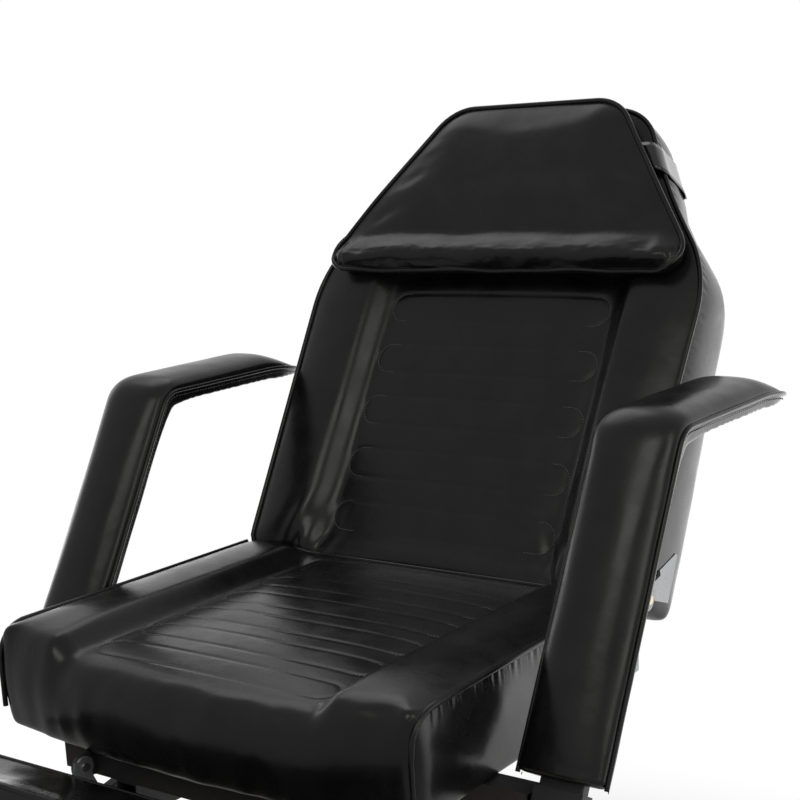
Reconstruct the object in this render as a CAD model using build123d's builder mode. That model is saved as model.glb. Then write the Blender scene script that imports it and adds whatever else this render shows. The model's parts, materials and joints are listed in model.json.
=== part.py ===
"""Hydraulic tattoo chair: reclining back, leg rest, lift-off armrests and head pillow on a pump base.

Millimetres, +Z up. The origin is on the floor, under the middle of the round base.
The chair faces -Y, and its right side, seen from the front, is +X.
"""
import os
from math import atan2, cos, degrees, radians, sin

from build123d import *

os.makedirs("parts", exist_ok=True)

# Driving dimensions: heights of the stack, from the floor to the seat's piped edge
base_radius = 310.0
base_disc_thickness = 14.0
floor_ring_thickness = 4.0
seat_height = 640.0
cushion_thickness = 98.0
board_thickness = 15.0
cross_tube = 30.0
rail_height = 40.0
hub_plate_thickness = 8.0
lift_travel = 180.0

# Driving dimensions: the three cushions and the armrests
seat_rear_y = 204.0
seat_front_corner_y = -242.0
seat_front_bow = 26.0
seat_half_width_rear = 288.0
seat_half_width_front = 300.0
back_front_y = 183.0
back_rest_angle = 58.5
back_height = 644.0
back_half_width_bottom = 286.0
back_half_width_shoulder = 293.0
back_depth_bottom = 115.0
back_depth_top = 58.0
leg_length = 430.0
leg_half_width = 296.0
leg_foot_half_width = 290.0
leg_hang_angle = 75.0
arm_inner_x = 319.0
arm_width = 100.0
arm_pad_height = 219.0
arm_leg_angle = 60.0
arm_pad_rear_y = 346.0
arm_corner_y = 82.0

# Pivots, as places in the side view (y, z)
recline_pivot = (217.0, 624.0)
leg_hinge = (-268.0, 512.0)
back_strut_foot = (40.0, 365.0)
back_strut_top = (316.0, 586.0)
leg_strut_foot = (20.0, 450.0)
leg_strut_top = (-250.0, 460.0)

# Clearances and stock
running_fit = 0.05
side_gap = 0.5
cushion_gap = 3.0
cut_overrun = 5.0
plate = 4.0
tube_wall = 2.0
screw_radius = 3.0
pivot_radius = 5.0
strut_pin_radius = 4.0

# Levels worked out from the stack
cushion_bottom_z = seat_height - cushion_thickness
board_bottom_z = cushion_bottom_z - board_thickness
tube_bottom_z = board_bottom_z - cross_tube
rail_bottom_z = tube_bottom_z - rail_height
hub_bottom_z = rail_bottom_z - hub_plate_thickness
back_cos = cos(radians(back_rest_angle))
back_sin = sin(radians(back_rest_angle))
leg_cos = cos(radians(leg_hang_angle))
leg_sin = sin(radians(leg_hang_angle))
sides = (("left", -1), ("right", 1))


def keep(piece, label):
    """Names a finished piece and writes it to its own file."""
    piece.part.label = label
    export_step(piece.part, f"parts/{label}.step")


def back_point(up, ahead):
    """Side-view place (y, z) of a point given along the reclined back and ahead of its face."""
    return (back_front_y + up * back_cos - ahead * back_sin, seat_height + up * back_sin + ahead * back_cos)


def leg_point(out, above):
    """Side-view place (y, z) of a point given out along the leg rest and above its hinge."""
    return (leg_hinge[0] - out * leg_cos - above * leg_sin, leg_hinge[1] - out * leg_sin + above * leg_cos)


def along(start, end, distance):
    """Side-view place at a distance from start on the way to end."""
    span = ((end[0] - start[0]) ** 2 + (end[1] - start[1]) ** 2) ** 0.5
    share = distance / span
    return (start[0] + (end[0] - start[0]) * share, start[1] + (end[1] - start[1]) * share)


def spot(x, place):
    """Point in space at a side-view place."""
    return (x, place[0], place[1])


# The reclined back's own planes: its face, and its rear, which leans in towards the head
back_normal = (0, -back_sin, back_cos)
back_face = Plane(origin=spot(0, back_point(0, 0)), x_dir=(1, 0, 0), z_dir=back_normal)
rear_lean = (back_depth_bottom - back_depth_top) / back_height


def back_layer(depth_share):
    """Plane across the back at a share of its depth behind the face, leaning as the depth tapers."""
    lean = rear_lean * depth_share
    return Plane(
        origin=spot(0, back_point(0, -back_depth_bottom * depth_share)),
        x_dir=(1, 0, 0),
        z_dir=(0, -back_sin - lean * back_cos, back_cos - lean * back_sin),
    )


back_rear = back_layer(1)
leg_normal = (0, -leg_sin, leg_cos)
leg_board_above = board_bottom_z - leg_hinge[1]
leg_board_plane = Plane(origin=spot(0, leg_point(0, leg_board_above)), x_dir=(1, 0, 0), z_dir=leg_normal)

# Base: rubber ring, steel disc and the spun cover over it
disc_bottom_z = floor_ring_thickness
disc_top_z = disc_bottom_z + base_disc_thickness
floor_ring_width = 32.0
cover_wall = 2.0
cover_skirt_height = 16.0
disc_radius = base_radius - cover_wall - running_fit
pump_foot_radius = 60.0
shroud_wall = 2.0
shroud_radius = pump_foot_radius + running_fit + shroud_wall
cover_collar_radius = shroud_radius + running_fit + cover_wall
cover_collar_bottom_z = 38.0
cover_collar_top_z = 46.0

with BuildPart() as floor_ring:
    with BuildSketch(Plane.XY):
        Circle(disc_radius - floor_ring_thickness)
        Circle(disc_radius - floor_ring_thickness - floor_ring_width, mode=Mode.SUBTRACT)
    extrude(amount=floor_ring_thickness)
keep(floor_ring, "floor_ring")

base_bolt_radius = 5.0
base_bolt_circle = 48.0
base_bolt_count = 4
with BuildPart() as base_disc:
    with BuildSketch(Plane.XY.offset(disc_bottom_z)):
        Circle(disc_radius)
        with PolarLocations(base_bolt_circle, base_bolt_count, start_angle=45):
            Circle(base_bolt_radius, mode=Mode.SUBTRACT)
    extrude(amount=base_disc_thickness)
keep(base_disc, "base_disc")

skirt_bottom_z = disc_bottom_z
skirt_top_z = skirt_bottom_z + cover_skirt_height
cover_rise_share = 0.42
brim_x = base_radius - cover_skirt_height * cover_rise_share
slope_x = cover_collar_radius + base_radius * cover_rise_share / 2
with BuildPart() as base_cover:
    with BuildSketch(Plane.XZ) as cover_section:
        with BuildLine():
            skirt = Line((base_radius, skirt_bottom_z), (base_radius, skirt_top_z))
            dome = Bezier(
                skirt @ 1,
                (brim_x, skirt_top_z + cover_skirt_height),
                (slope_x, cover_collar_bottom_z - cover_wall),
                (cover_collar_radius, cover_collar_bottom_z),
            )
            collar = Line(dome @ 1, (cover_collar_radius, cover_collar_top_z))
            collar_edge = Line(collar @ 1, (cover_collar_radius - cover_wall, cover_collar_top_z))
            collar_inside = Line(collar_edge @ 1, (cover_collar_radius - cover_wall, cover_collar_bottom_z))
            dome_inside = Bezier(
                collar_inside @ 1,
                (slope_x, cover_collar_bottom_z - 2 * cover_wall),
                (brim_x - cover_wall, skirt_top_z + cover_skirt_height - cover_wall),
                (base_radius - cover_wall, skirt_top_z),
            )
            skirt_inside = Line(dome_inside @ 1, (base_radius - cover_wall, skirt_bottom_z))
            Line(skirt_inside @ 1, skirt @ 0)
        make_face()
    revolve(axis=Axis.Z)
keep(base_cover, "base_cover")

# Pump: cast foot with the pedal's ears, cylinder, gland, plunger and the bolts into the disc
pump_body_radius = 42.0
pump_gland_height = 12.0
pump_gland_radius = 38.0
ram_radius = 25.0
ram_base_gap = 8.0
ram_guided_length = 113.0
ram_bore_bottom_z = 92.0
ram_bottom_z = ram_bore_bottom_z + ram_base_gap
foot_top_z = 64.0
pump_body_top_z = ram_bottom_z + lift_travel + ram_guided_length - ram_base_gap
pedal_axis_x = 100.0
pedal_axis_z = 72.0
pedal_pin_radius = 6.0
ear_radius = 13.0
ear_thickness = 8.0
pedal_bar_width = 26.0
pedal_bar_depth = 12.0
plunger_radius = 5.0
plunger_x = 54.0
plunger_head_radius = 9.0
plunger_head_height = 5.0
plunger_bore_bottom_z = 30.0
fork_radius = 6.5
contact_gap = 0.3
ear_offset = pedal_bar_width / 2 + side_gap + ear_thickness / 2

with BuildPart() as pump_foot:
    with BuildSketch(Plane.XY.offset(disc_top_z)):
        Circle(pump_foot_radius)
    extrude(amount=foot_top_z - disc_top_z)
    for ear_y in (-ear_offset, ear_offset):
        with BuildSketch(Plane.XZ.offset(-ear_y)):
            with Locations((pedal_axis_x, pedal_axis_z)):
                Circle(ear_radius)
            with Locations(((pedal_axis_x + pump_body_radius) / 2, pedal_axis_z)):
                Rectangle(pedal_axis_x - pump_body_radius, 2 * ear_radius)
            with Locations((pedal_axis_x, pedal_axis_z)):
                Circle(pedal_pin_radius, mode=Mode.SUBTRACT)
        extrude(amount=ear_thickness / 2, both=True)
    with BuildSketch(Plane.XY.offset(foot_top_z)):
        Circle(pump_body_radius)
    extrude(amount=3 * ear_radius, mode=Mode.SUBTRACT)
    with BuildSketch(Plane.XY.offset(plunger_bore_bottom_z)):
        with Locations((plunger_x, 0)):
            Circle(plunger_radius + running_fit)
    extrude(amount=foot_top_z, mode=Mode.SUBTRACT)
    with BuildSketch(Plane.XY.offset(disc_top_z)):
        with PolarLocations(base_bolt_circle, base_bolt_count, start_angle=45):
            Circle(base_bolt_radius)
    extrude(amount=foot_top_z - disc_top_z, mode=Mode.SUBTRACT)
keep(pump_foot, "pump_foot")

with BuildPart() as base_bolts:
    with BuildSketch(Plane.XY.offset(disc_bottom_z)):
        with PolarLocations(base_bolt_circle, base_bolt_count, start_angle=45):
            Circle(base_bolt_radius)
    extrude(amount=foot_top_z - disc_bottom_z)
keep(base_bolts, "base_bolts")

with BuildPart() as pump_cylinder:
    with BuildSketch(Plane.XY.offset(foot_top_z)):
        Circle(pump_body_radius)
    extrude(amount=pump_body_top_z - foot_top_z)
    with BuildSketch(Plane.XY.offset(ram_bore_bottom_z)):
        Circle(ram_radius + running_fit)
    extrude(amount=pump_body_top_z, mode=Mode.SUBTRACT)
    top_rim = pump_cylinder.edges().filter_by(GeomType.CIRCLE).group_by(Axis.Z)[-1].sort_by(SortBy.RADIUS)[-1]
    chamfer(top_rim, tube_wall)
keep(pump_cylinder, "pump_cylinder")

with BuildPart() as pump_gland:
    with BuildSketch(Plane.XY.offset(pump_body_top_z)):
        RegularPolygon(pump_gland_radius, 6)
        Circle(ram_radius + running_fit, mode=Mode.SUBTRACT)
    extrude(amount=pump_gland_height)
keep(pump_gland, "pump_gland")

plunger_head_z = pedal_axis_z + fork_radius + contact_gap
with BuildPart() as pump_plunger:
    with BuildSketch(Plane.XY.offset(plunger_bore_bottom_z + plunger_radius)):
        with Locations((plunger_x, 0)):
            Circle(plunger_radius)
    extrude(amount=plunger_head_z - plunger_bore_bottom_z - plunger_radius)
    with BuildSketch(Plane.XY.offset(plunger_head_z)):
        with Locations((plunger_x, 0)):
            Circle(plunger_head_radius)
    extrude(amount=plunger_head_height)
keep(pump_plunger, "pump_plunger")

# Pedal: forked bar on its pin, with a rubber pad on the outer end
pedal_reach_x = 372.0
pedal_rise = 4.0
pedal_pad_length = 86.0
pedal_pad_width = 74.0
pedal_pad_depth = 22.0
pedal_pad_wall = 5.0
pedal_hub_radius = 11.0
fork_slot = 2 * (plunger_radius + running_fit) + 2 * side_gap
pedal_plane = Plane(
    origin=(pedal_axis_x, 0, pedal_axis_z),
    x_dir=(cos(radians(pedal_rise)), 0, sin(radians(pedal_rise))),
    z_dir=(0, -1, 0),
)
pedal_bar_length = (pedal_reach_x - pedal_axis_x) / cos(radians(pedal_rise)) - pedal_pad_wall
with BuildPart() as pedal_pin:
    with BuildSketch(Plane.XZ.offset(-ear_offset - ear_thickness / 2)):
        with Locations((pedal_axis_x, pedal_axis_z)):
            Circle(pedal_pin_radius)
    extrude(amount=2 * ear_offset + ear_thickness)
    for end_face in pedal_pin.faces().filter_by(Axis.Y):
        with BuildSketch(end_face):
            Circle(pedal_hub_radius - pedal_pin_radius / 2)
        extrude(amount=cover_wall)
keep(pedal_pin, "pedal_pin")

with BuildPart() as pedal_arm:
    with BuildSketch(Plane.XZ):
        with BuildLine():
            Polyline(
                (plunger_x, pedal_axis_z - fork_radius / 2),
                (pedal_axis_x, pedal_axis_z - pedal_bar_depth / 2),
                (pedal_axis_x, pedal_axis_z + pedal_bar_depth / 2),
                (plunger_x, pedal_axis_z + fork_radius / 2),
                close=True,
            )
        make_face()
        with Locations((plunger_x, pedal_axis_z)):
            Circle(fork_radius)
    extrude(amount=pedal_bar_width / 2, both=True)
    with BuildSketch(pedal_plane):
        with Locations((pedal_bar_length / 2, 0)):
            Rectangle(pedal_bar_length, pedal_bar_depth)
        Circle(pedal_hub_radius)
    extrude(amount=pedal_bar_width / 2, both=True)
    with BuildSketch(Plane.XZ):
        with Locations((pedal_axis_x, pedal_axis_z)):
            Circle(pedal_pin_radius + running_fit)
    extrude(amount=pedal_bar_width, both=True, mode=Mode.SUBTRACT)
    with BuildSketch(Plane.XY.offset(pedal_axis_z)):
        with Locations((plunger_x, 0)):
            SlotOverall(2 * fork_slot, fork_slot)
    extrude(amount=fork_slot, both=True, mode=Mode.SUBTRACT)
keep(pedal_arm, "pedal_arm")

with BuildPart() as pedal_pad:
    with BuildSketch(pedal_plane):
        with Locations((pedal_bar_length + pedal_pad_wall - pedal_pad_length / 2, 0)):
            RectangleRounded(pedal_pad_length, pedal_pad_depth, pedal_pad_wall)
    extrude(amount=pedal_pad_width / 2, both=True)
    long_edges = pedal_pad.edges().filter_by(lambda edge: edge.length > pedal_pad_length / 2)
    fillet(long_edges.filter_by(GeomType.LINE), tube_wall)
    with BuildSketch(pedal_plane):
        with Locations((pedal_bar_length / 2, 0)):
            Rectangle(pedal_bar_length, pedal_bar_depth)
    extrude(amount=pedal_bar_width / 2, both=True, mode=Mode.SUBTRACT)
keep(pedal_pad, "pedal_pad")

# Shrouds: a fixed lower tube with a window for the pedal, its guide ring, and the rising upper tube
upper_shroud_radius = 56.0
lower_shroud_top_z = 285.0
guide_ring_depth = 14.0
guide_ring_flange = 4.0
window_width = 2 * ear_offset + ear_thickness + 2 * side_gap
window_top_z = pedal_axis_z + 2 * ear_radius
shoulder_z = 409.0
shoulder_height = 6.0
shoulder_radius = 38.0
spigot_radius = 20.0
bearing_height = 4.0
hub_gap = 0.3
hub_boss_height = hub_bottom_z - shoulder_z - shoulder_height - bearing_height - hub_gap

with BuildPart() as lower_shroud:
    with BuildSketch(Plane.XY.offset(disc_top_z)):
        Circle(shroud_radius)
        Circle(shroud_radius - shroud_wall, mode=Mode.SUBTRACT)
    extrude(amount=lower_shroud_top_z - disc_top_z)
    with BuildSketch(Plane.XY.offset(cover_collar_top_z)):
        with Locations((shroud_radius, 0)):
            Rectangle(shroud_radius, window_width)
    extrude(amount=window_top_z - cover_collar_top_z, mode=Mode.SUBTRACT)
keep(lower_shroud, "lower_shroud")

with BuildPart() as shroud_guide:
    with BuildSketch(Plane.XY.offset(lower_shroud_top_z - guide_ring_depth)):
        Circle(shroud_radius - shroud_wall)
        Circle(upper_shroud_radius + running_fit, mode=Mode.SUBTRACT)
    extrude(amount=guide_ring_depth)
    with BuildSketch(Plane.XY.offset(lower_shroud_top_z)):
        Circle(shroud_radius)
        Circle(upper_shroud_radius + running_fit, mode=Mode.SUBTRACT)
    extrude(amount=guide_ring_flange)
keep(shroud_guide, "shroud_guide")

with BuildPart() as upper_shroud:
    with BuildSketch(Plane.XY.offset(window_top_z)):
        Circle(upper_shroud_radius)
        Circle(upper_shroud_radius - shroud_wall, mode=Mode.SUBTRACT)
    extrude(amount=shoulder_z - window_top_z)
    with BuildSketch(Plane.XY.offset(shoulder_z - shroud_wall)):
        Circle(upper_shroud_radius)
        Circle(ram_radius, mode=Mode.SUBTRACT)
    extrude(amount=shroud_wall)
keep(upper_shroud, "upper_shroud")

with BuildPart() as lift_ram:
    with BuildSketch(Plane.XY.offset(ram_bottom_z)):
        Circle(ram_radius)
    extrude(amount=shoulder_z - ram_bottom_z)
    with BuildSketch(Plane.XY.offset(shoulder_z)):
        Circle(shoulder_radius)
    extrude(amount=shoulder_height)
    with BuildSketch(Plane.XY.offset(shoulder_z + shoulder_height)):
        Circle(spigot_radius)
    extrude(amount=hub_bottom_z - shoulder_z - shoulder_height - hub_gap)
    chamfer(lift_ram.edges().group_by(Axis.Z)[0], tube_wall)
keep(lift_ram, "lift_ram")

with BuildPart() as swivel_bearing:
    with BuildSketch(Plane.XY.offset(shoulder_z + shoulder_height)):
        Circle(shoulder_radius)
        Circle(spigot_radius, mode=Mode.SUBTRACT)
    extrude(amount=bearing_height)
keep(swivel_bearing, "swivel_bearing")

# Seat frame: hub plate, two rails, three cross tubes, and the bolts through the hub plate
hub_boss_radius = 40.0
hub_plate_length = 230.0
rail_x = 95.0
rail_width = 30.0
hub_plate_width = 2 * rail_x + rail_width
rail_front_y = -250.0
rail_rear_y = 120.0
hinge_tube_y = -235.0
arm_tube_y = -109.0
rear_tube_y = 95.0
rear_tube_height = 20.0
rear_tube_half_length = 290.0
arm_x = arm_inner_x + arm_width / 2
arm_bar_width = 50.0
arm_bar_depth = 14.0
socket_wall = 3.0
arm_tube_half_length = arm_x - arm_bar_width / 2 - running_fit - socket_wall
hub_bolt_y = 88.0
hub_bolt_radius = 5.0
hub_bolt_head = 6.0
hub_bolt_places = [(x, y) for x in (-rail_x, rail_x) for y in (-hub_bolt_y, hub_bolt_y)]

with BuildPart() as swivel_hub:
    with BuildSketch(Plane.XY.offset(hub_bottom_z)):
        RectangleRounded(hub_plate_width, hub_plate_length, hub_boss_radius / 2)
        with Locations(*hub_bolt_places):
            Circle(hub_bolt_radius, mode=Mode.SUBTRACT)
    extrude(amount=hub_plate_thickness)
    with BuildSketch(Plane.XY.offset(hub_bottom_z - hub_boss_height)):
        Circle(hub_boss_radius)
    extrude(amount=hub_boss_height)
    with BuildSketch(Plane.XY.offset(hub_bottom_z - hub_boss_height)):
        Circle(spigot_radius + running_fit)
    extrude(amount=hub_boss_height, mode=Mode.SUBTRACT)
keep(swivel_hub, "swivel_hub")


def hollow_tube(centre_y, bottom_z, depth, height, half_length):
    """Cross tube of the seat frame, lying along X, open at its ends."""
    with BuildPart() as tube:
        with BuildSketch(Plane.YZ.offset(-half_length)):
            with Locations((centre_y, bottom_z + height / 2)):
                Rectangle(depth, height)
                Rectangle(depth - 2 * tube_wall, height - 2 * tube_wall, mode=Mode.SUBTRACT)
        extrude(amount=2 * half_length)
    return tube


keep(hollow_tube(hinge_tube_y, tube_bottom_z, cross_tube, cross_tube, rail_x * 2), "hinge_cross_tube")
keep(hollow_tube(arm_tube_y, tube_bottom_z, cross_tube, cross_tube, arm_tube_half_length), "arm_cross_tube")

# The rear cross tube is flatter, to clear the back's spring, and stands on two feet welded under it
rear_tube_bottom_z = board_bottom_z - rear_tube_height
with BuildPart() as rear_cross_tube:
    add(hollow_tube(rear_tube_y, rear_tube_bottom_z, cross_tube, rear_tube_height, rear_tube_half_length).part)
    with BuildSketch(Plane.XY.offset(tube_bottom_z)):
        with Locations((-rail_x, rear_tube_y), (rail_x, rear_tube_y)):
            Rectangle(rail_width, cross_tube)
    extrude(amount=rear_tube_bottom_z - tube_bottom_z)
keep(rear_cross_tube, "rear_cross_tube")

with BuildPart() as seat_rails:
    with BuildSketch(Plane.XZ.offset(-rail_front_y)):
        with Locations(*[(way * rail_x, rail_bottom_z + rail_height / 2) for side, way in sides]):
            Rectangle(rail_width, rail_height)
            Rectangle(rail_width - 2 * tube_wall, rail_height - 2 * tube_wall, mode=Mode.SUBTRACT)
    extrude(amount=rail_front_y - rail_rear_y)
    with BuildSketch(Plane.XY.offset(rail_bottom_z)):
        with Locations(*hub_bolt_places):
            Circle(hub_bolt_radius)
    extrude(amount=tube_wall, mode=Mode.SUBTRACT)
keep(seat_rails, "seat_rails")

with BuildPart() as hub_bolts:
    with BuildSketch(Plane.XY.offset(hub_bottom_z - hub_bolt_head)):
        with Locations(*hub_bolt_places):
            RegularPolygon(2 * hub_bolt_radius, 6)
    extrude(amount=hub_bolt_head)
    with BuildSketch(Plane.XY.offset(hub_bottom_z)):
        with Locations(*hub_bolt_places):
            Circle(hub_bolt_radius)
    extrude(amount=hub_plate_thickness + 2 * tube_wall)
keep(hub_bolts, "hub_bolts")

# Seat: plywood board and the cushion with raised side bolsters, a sunk middle and sewn channels
seat_corner = 14.0
seat_front_round = 26.0
side_draw = 4.0
bottom_draw = 2.0
bolster_inner_x = 192.0
bolster_edge = 8.0
bolster_rise = 11.0
bolster_fade = 0.5
sink_depth = 16.0
sink_half_width = 184.0
channel_length = 340.0
channel_height = 40.0
channel_width = 4.0
channel_depth = 3.0
seat_channel_pitch = 70.0
seat_channel_count = 6
seat_channel_rear_y = 152.0
board_inset = 8.0


def seat_outline(inset):
    """Seat outline seen from above: straight tapering sides and a gently bowed front."""
    with BuildSketch(mode=Mode.PRIVATE) as outline:
        with BuildLine():
            front = ThreePointArc(
                (-seat_half_width_front, seat_front_corner_y),
                (0, seat_front_corner_y - seat_front_bow),
                (seat_half_width_front, seat_front_corner_y),
            )
            Polyline(
                front @ 1,
                (seat_half_width_rear, seat_rear_y),
                (-seat_half_width_rear, seat_rear_y),
                front @ 0,
            )
        make_face()
        fillet(outline.vertices().group_by(Axis.Y)[0], seat_corner)
        if inset > 0:
            offset(amount=-inset)
    return outline.sketch


def lens(plane, inner_x, outer_x, rise, way):
    """Low arch across one bolster, on a plane that cuts the cushion from side to side."""
    with BuildSketch(plane) as arch:
        with BuildLine():
            base = Line((way * inner_x, -rise / 2), (way * outer_x, -rise / 2))
            outer = Line(base @ 1, (way * outer_x, 0))
            crown = ThreePointArc(outer @ 1, (way * (inner_x + outer_x) / 2, rise), (way * inner_x, 0))
            Line(crown @ 1, base @ 0)
        make_face()
    return arch.sketch


def sink(plane, depth):
    """Sunk middle of a cushion: a flat floor with sloping sides, open at the top."""
    slope = bolster_inner_x - sink_half_width
    with BuildSketch(plane) as hollow:
        with BuildLine():
            Polyline(
                (-sink_half_width, -depth),
                (sink_half_width, -depth),
                (bolster_inner_x, 0),
                (bolster_inner_x + slope, bolster_rise),
                (-bolster_inner_x - slope, bolster_rise),
                (-bolster_inner_x, 0),
                close=True,
            )
        make_face()
    return hollow.sketch


def channel_rows(plane, rows):
    """Sewn channels: a narrow groove round each long pill shape."""
    with BuildSketch(plane) as rings:
        with Locations(*[(0, row) for row in rows]):
            SlotOverall(channel_length + channel_width, channel_height + channel_width)
            SlotOverall(channel_length - channel_width, channel_height - channel_width, mode=Mode.SUBTRACT)
    return rings.sketch


with BuildPart() as seat_board:
    with BuildSketch(Plane.XY.offset(board_bottom_z)):
        add(seat_outline(board_inset))
    extrude(amount=board_thickness)
keep(seat_board, "seat_board")

seat_mid_z = (seat_height + cushion_bottom_z) / 2
seat_channel_ys = [seat_channel_rear_y - step * seat_channel_pitch for step in range(seat_channel_count)]
seat_bolster_rear_y = back_front_y - 2 * cushion_gap - seat_corner
seat_bolster_ends = (
    seat_bolster_rear_y,
    seat_bolster_rear_y - channel_height,
    seat_front_corner_y + channel_height,
    seat_front_corner_y + side_draw,
)
seat_bolster_rises = (bolster_rise / 2, bolster_rise, bolster_rise, side_draw / 2)
with BuildPart() as seat_cushion:
    with BuildSketch(Plane.XY.offset(cushion_bottom_z)):
        add(seat_outline(bottom_draw))
    with BuildSketch(Plane.XY.offset(seat_mid_z)):
        add(seat_outline(side_draw))
    with BuildSketch(Plane.XY.offset(seat_height)):
        add(seat_outline(side_gap))
    loft(ruled=True)
    front_top = seat_cushion.edges().group_by(Axis.Z)[-1].sort_by(Axis.Y)[0]
    fillet(front_top, seat_front_round)
    for side, way in sides:
        arches = []
        for place, rise in zip(seat_bolster_ends, seat_bolster_rises):
            section = Plane(origin=(0, place, seat_height), x_dir=(1, 0, 0), z_dir=(0, -1, 0))
            arches.append(lens(section, bolster_inner_x, seat_half_width_rear - bolster_edge, rise, way))
        loft(arches, ruled=True)
    sink_start = Plane(origin=(0, seat_rear_y + cut_overrun, seat_height), x_dir=(1, 0, 0), z_dir=(0, -1, 0))
    sink_length = seat_rear_y - seat_front_corner_y + seat_front_bow + 2 * cut_overrun
    extrude(sink(sink_start, sink_depth), amount=sink_length, mode=Mode.SUBTRACT)
    channels = channel_rows(Plane.XY.offset(seat_height - sink_depth - channel_depth), seat_channel_ys)
    extrude(channels, amount=2 * channel_depth, mode=Mode.SUBTRACT)
    tuck = back_point(-cushion_gap * 2, cushion_gap * 2)
    tuck_end = back_point(-cushion_gap * 2, -back_depth_bottom)
    with BuildSketch(Plane.YZ):
        with BuildLine():
            Polyline(
                (tuck[0], seat_height + 2 * bolster_rise),
                tuck,
                tuck_end,
                (tuck_end[0], seat_height + 2 * bolster_rise),
                close=True,
            )
        make_face()
    extrude(amount=seat_half_width_front, both=True, mode=Mode.SUBTRACT)
    low_rear = seat_cushion.edges().filter_by(Axis.X).group_by(Axis.Y)[-1].sort_by(Axis.Z)[-1]
    fillet(low_rear, seat_corner)
keep(seat_cushion, "seat_cushion")

# Seat side plates: grey steel, from the rear cross tube's ends up to the recline pivots
seat_plate_gap = 1.5
seat_plate_x = seat_half_width_rear + seat_plate_gap + side_gap
lobe_radius = 14.0
plate_rear_y = 200.0
plate_skirt_z = 545.0
plate_tab_length = 40.0
plate_bend_radius = 6.0
seat_plate_outline = [
    (plate_rear_y, recline_pivot[1] - lobe_radius),
    (plate_rear_y - side_draw, plate_skirt_z),
    (rear_tube_y + cross_tube, plate_skirt_z - side_draw),
    (rear_tube_y + cross_tube / 2, rear_tube_bottom_z),
    (rear_tube_y - plate_tab_length, rear_tube_bottom_z),
    (rear_tube_y - plate_tab_length, board_bottom_z),
    (rear_tube_y + cross_tube / 2, plate_skirt_z),
    (recline_pivot[0] - plate_tab_length, recline_pivot[1] - lobe_radius),
    (recline_pivot[0] - lobe_radius / 2, recline_pivot[1] + lobe_radius - tube_wall),
]
for side, way in sides:
    with BuildPart() as seat_plate:
        with BuildSketch(Plane.YZ.offset(way * seat_plate_x)):
            with BuildLine():
                Polyline(*seat_plate_outline, close=True)
            make_face()
            with Locations(recline_pivot):
                Circle(lobe_radius)
        extrude(amount=way * plate)
        fillet(seat_plate.edges().filter_by(Axis.X).group_by(Axis.Z)[0], plate_bend_radius)
        with BuildSketch(Plane.YZ):
            with Locations(recline_pivot):
                Circle(pivot_radius + running_fit)
        extrude(amount=way * 2 * seat_plate_x, mode=Mode.SUBTRACT)
    keep(seat_plate, f"seat_side_plate_{side}")

# Gas spring bracket on the left rail: it carries both springs' feet and the release shaft's bearing
strut_x = 130.0
eye_half_width = 7.0
eye_radius = 9.0
bracket_x = rail_x + rail_width / 2
bracket_half_length = 52.0
release_axis = (-8.0, 402.0)
release_shaft_radius = 5.0
release_boss_radius = 9.0
release_boss_length = 18.0
bracket_mid_y = (back_strut_foot[0] + leg_strut_foot[0]) / 2
spring_feet = (back_strut_foot, leg_strut_foot)
with BuildPart() as spring_bracket:
    with BuildSketch(Plane.YZ.offset(-bracket_x)):
        with BuildLine():
            Polyline(
                (bracket_mid_y - bracket_half_length, tube_bottom_z),
                (bracket_mid_y - bracket_half_length, rail_bottom_z),
                (release_axis[0] - lobe_radius, release_axis[1]),
                (back_strut_foot[0] - lobe_radius, back_strut_foot[1]),
                (back_strut_foot[0] + lobe_radius, back_strut_foot[1]),
                (bracket_mid_y + bracket_half_length, rail_bottom_z),
                (bracket_mid_y + bracket_half_length, tube_bottom_z),
                close=True,
            )
        make_face()
        with Locations(back_strut_foot, release_axis):
            Circle(lobe_radius)
        with Locations(*spring_feet):
            Circle(strut_pin_radius, mode=Mode.SUBTRACT)
    extrude(amount=-plate)
    with BuildSketch(Plane.YZ.offset(-bracket_x - plate)):
        with Locations(release_axis):
            Circle(release_boss_radius)
    extrude(amount=-release_boss_length)
    with BuildSketch(Plane.YZ.offset(-bracket_x)):
        with Locations(release_axis):
            Circle(release_shaft_radius + running_fit)
    extrude(amount=-plate - release_boss_length, mode=Mode.SUBTRACT)
keep(spring_bracket, "spring_bracket")

eye_inner_x = strut_x - eye_half_width
eye_outer_x = strut_x + eye_half_width
with BuildPart() as spring_foot_pins:
    for foot in spring_feet:
        with BuildSketch(Plane.YZ.offset(-bracket_x)):
            with Locations(foot):
                Circle(strut_pin_radius)
        extrude(amount=bracket_x - eye_outer_x - side_gap)
        with BuildSketch(Plane.YZ.offset(-eye_outer_x - side_gap)):
            with Locations(foot):
                RegularPolygon(eye_radius, 6)
        extrude(amount=-plate)
        with BuildSketch(Plane.YZ.offset(-bracket_x - plate)):
            with Locations(foot):
                Circle(strut_pin_radius + tube_wall)
        extrude(amount=bracket_x + plate - eye_inner_x + side_gap)
keep(spring_foot_pins, "spring_foot_pins")

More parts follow.
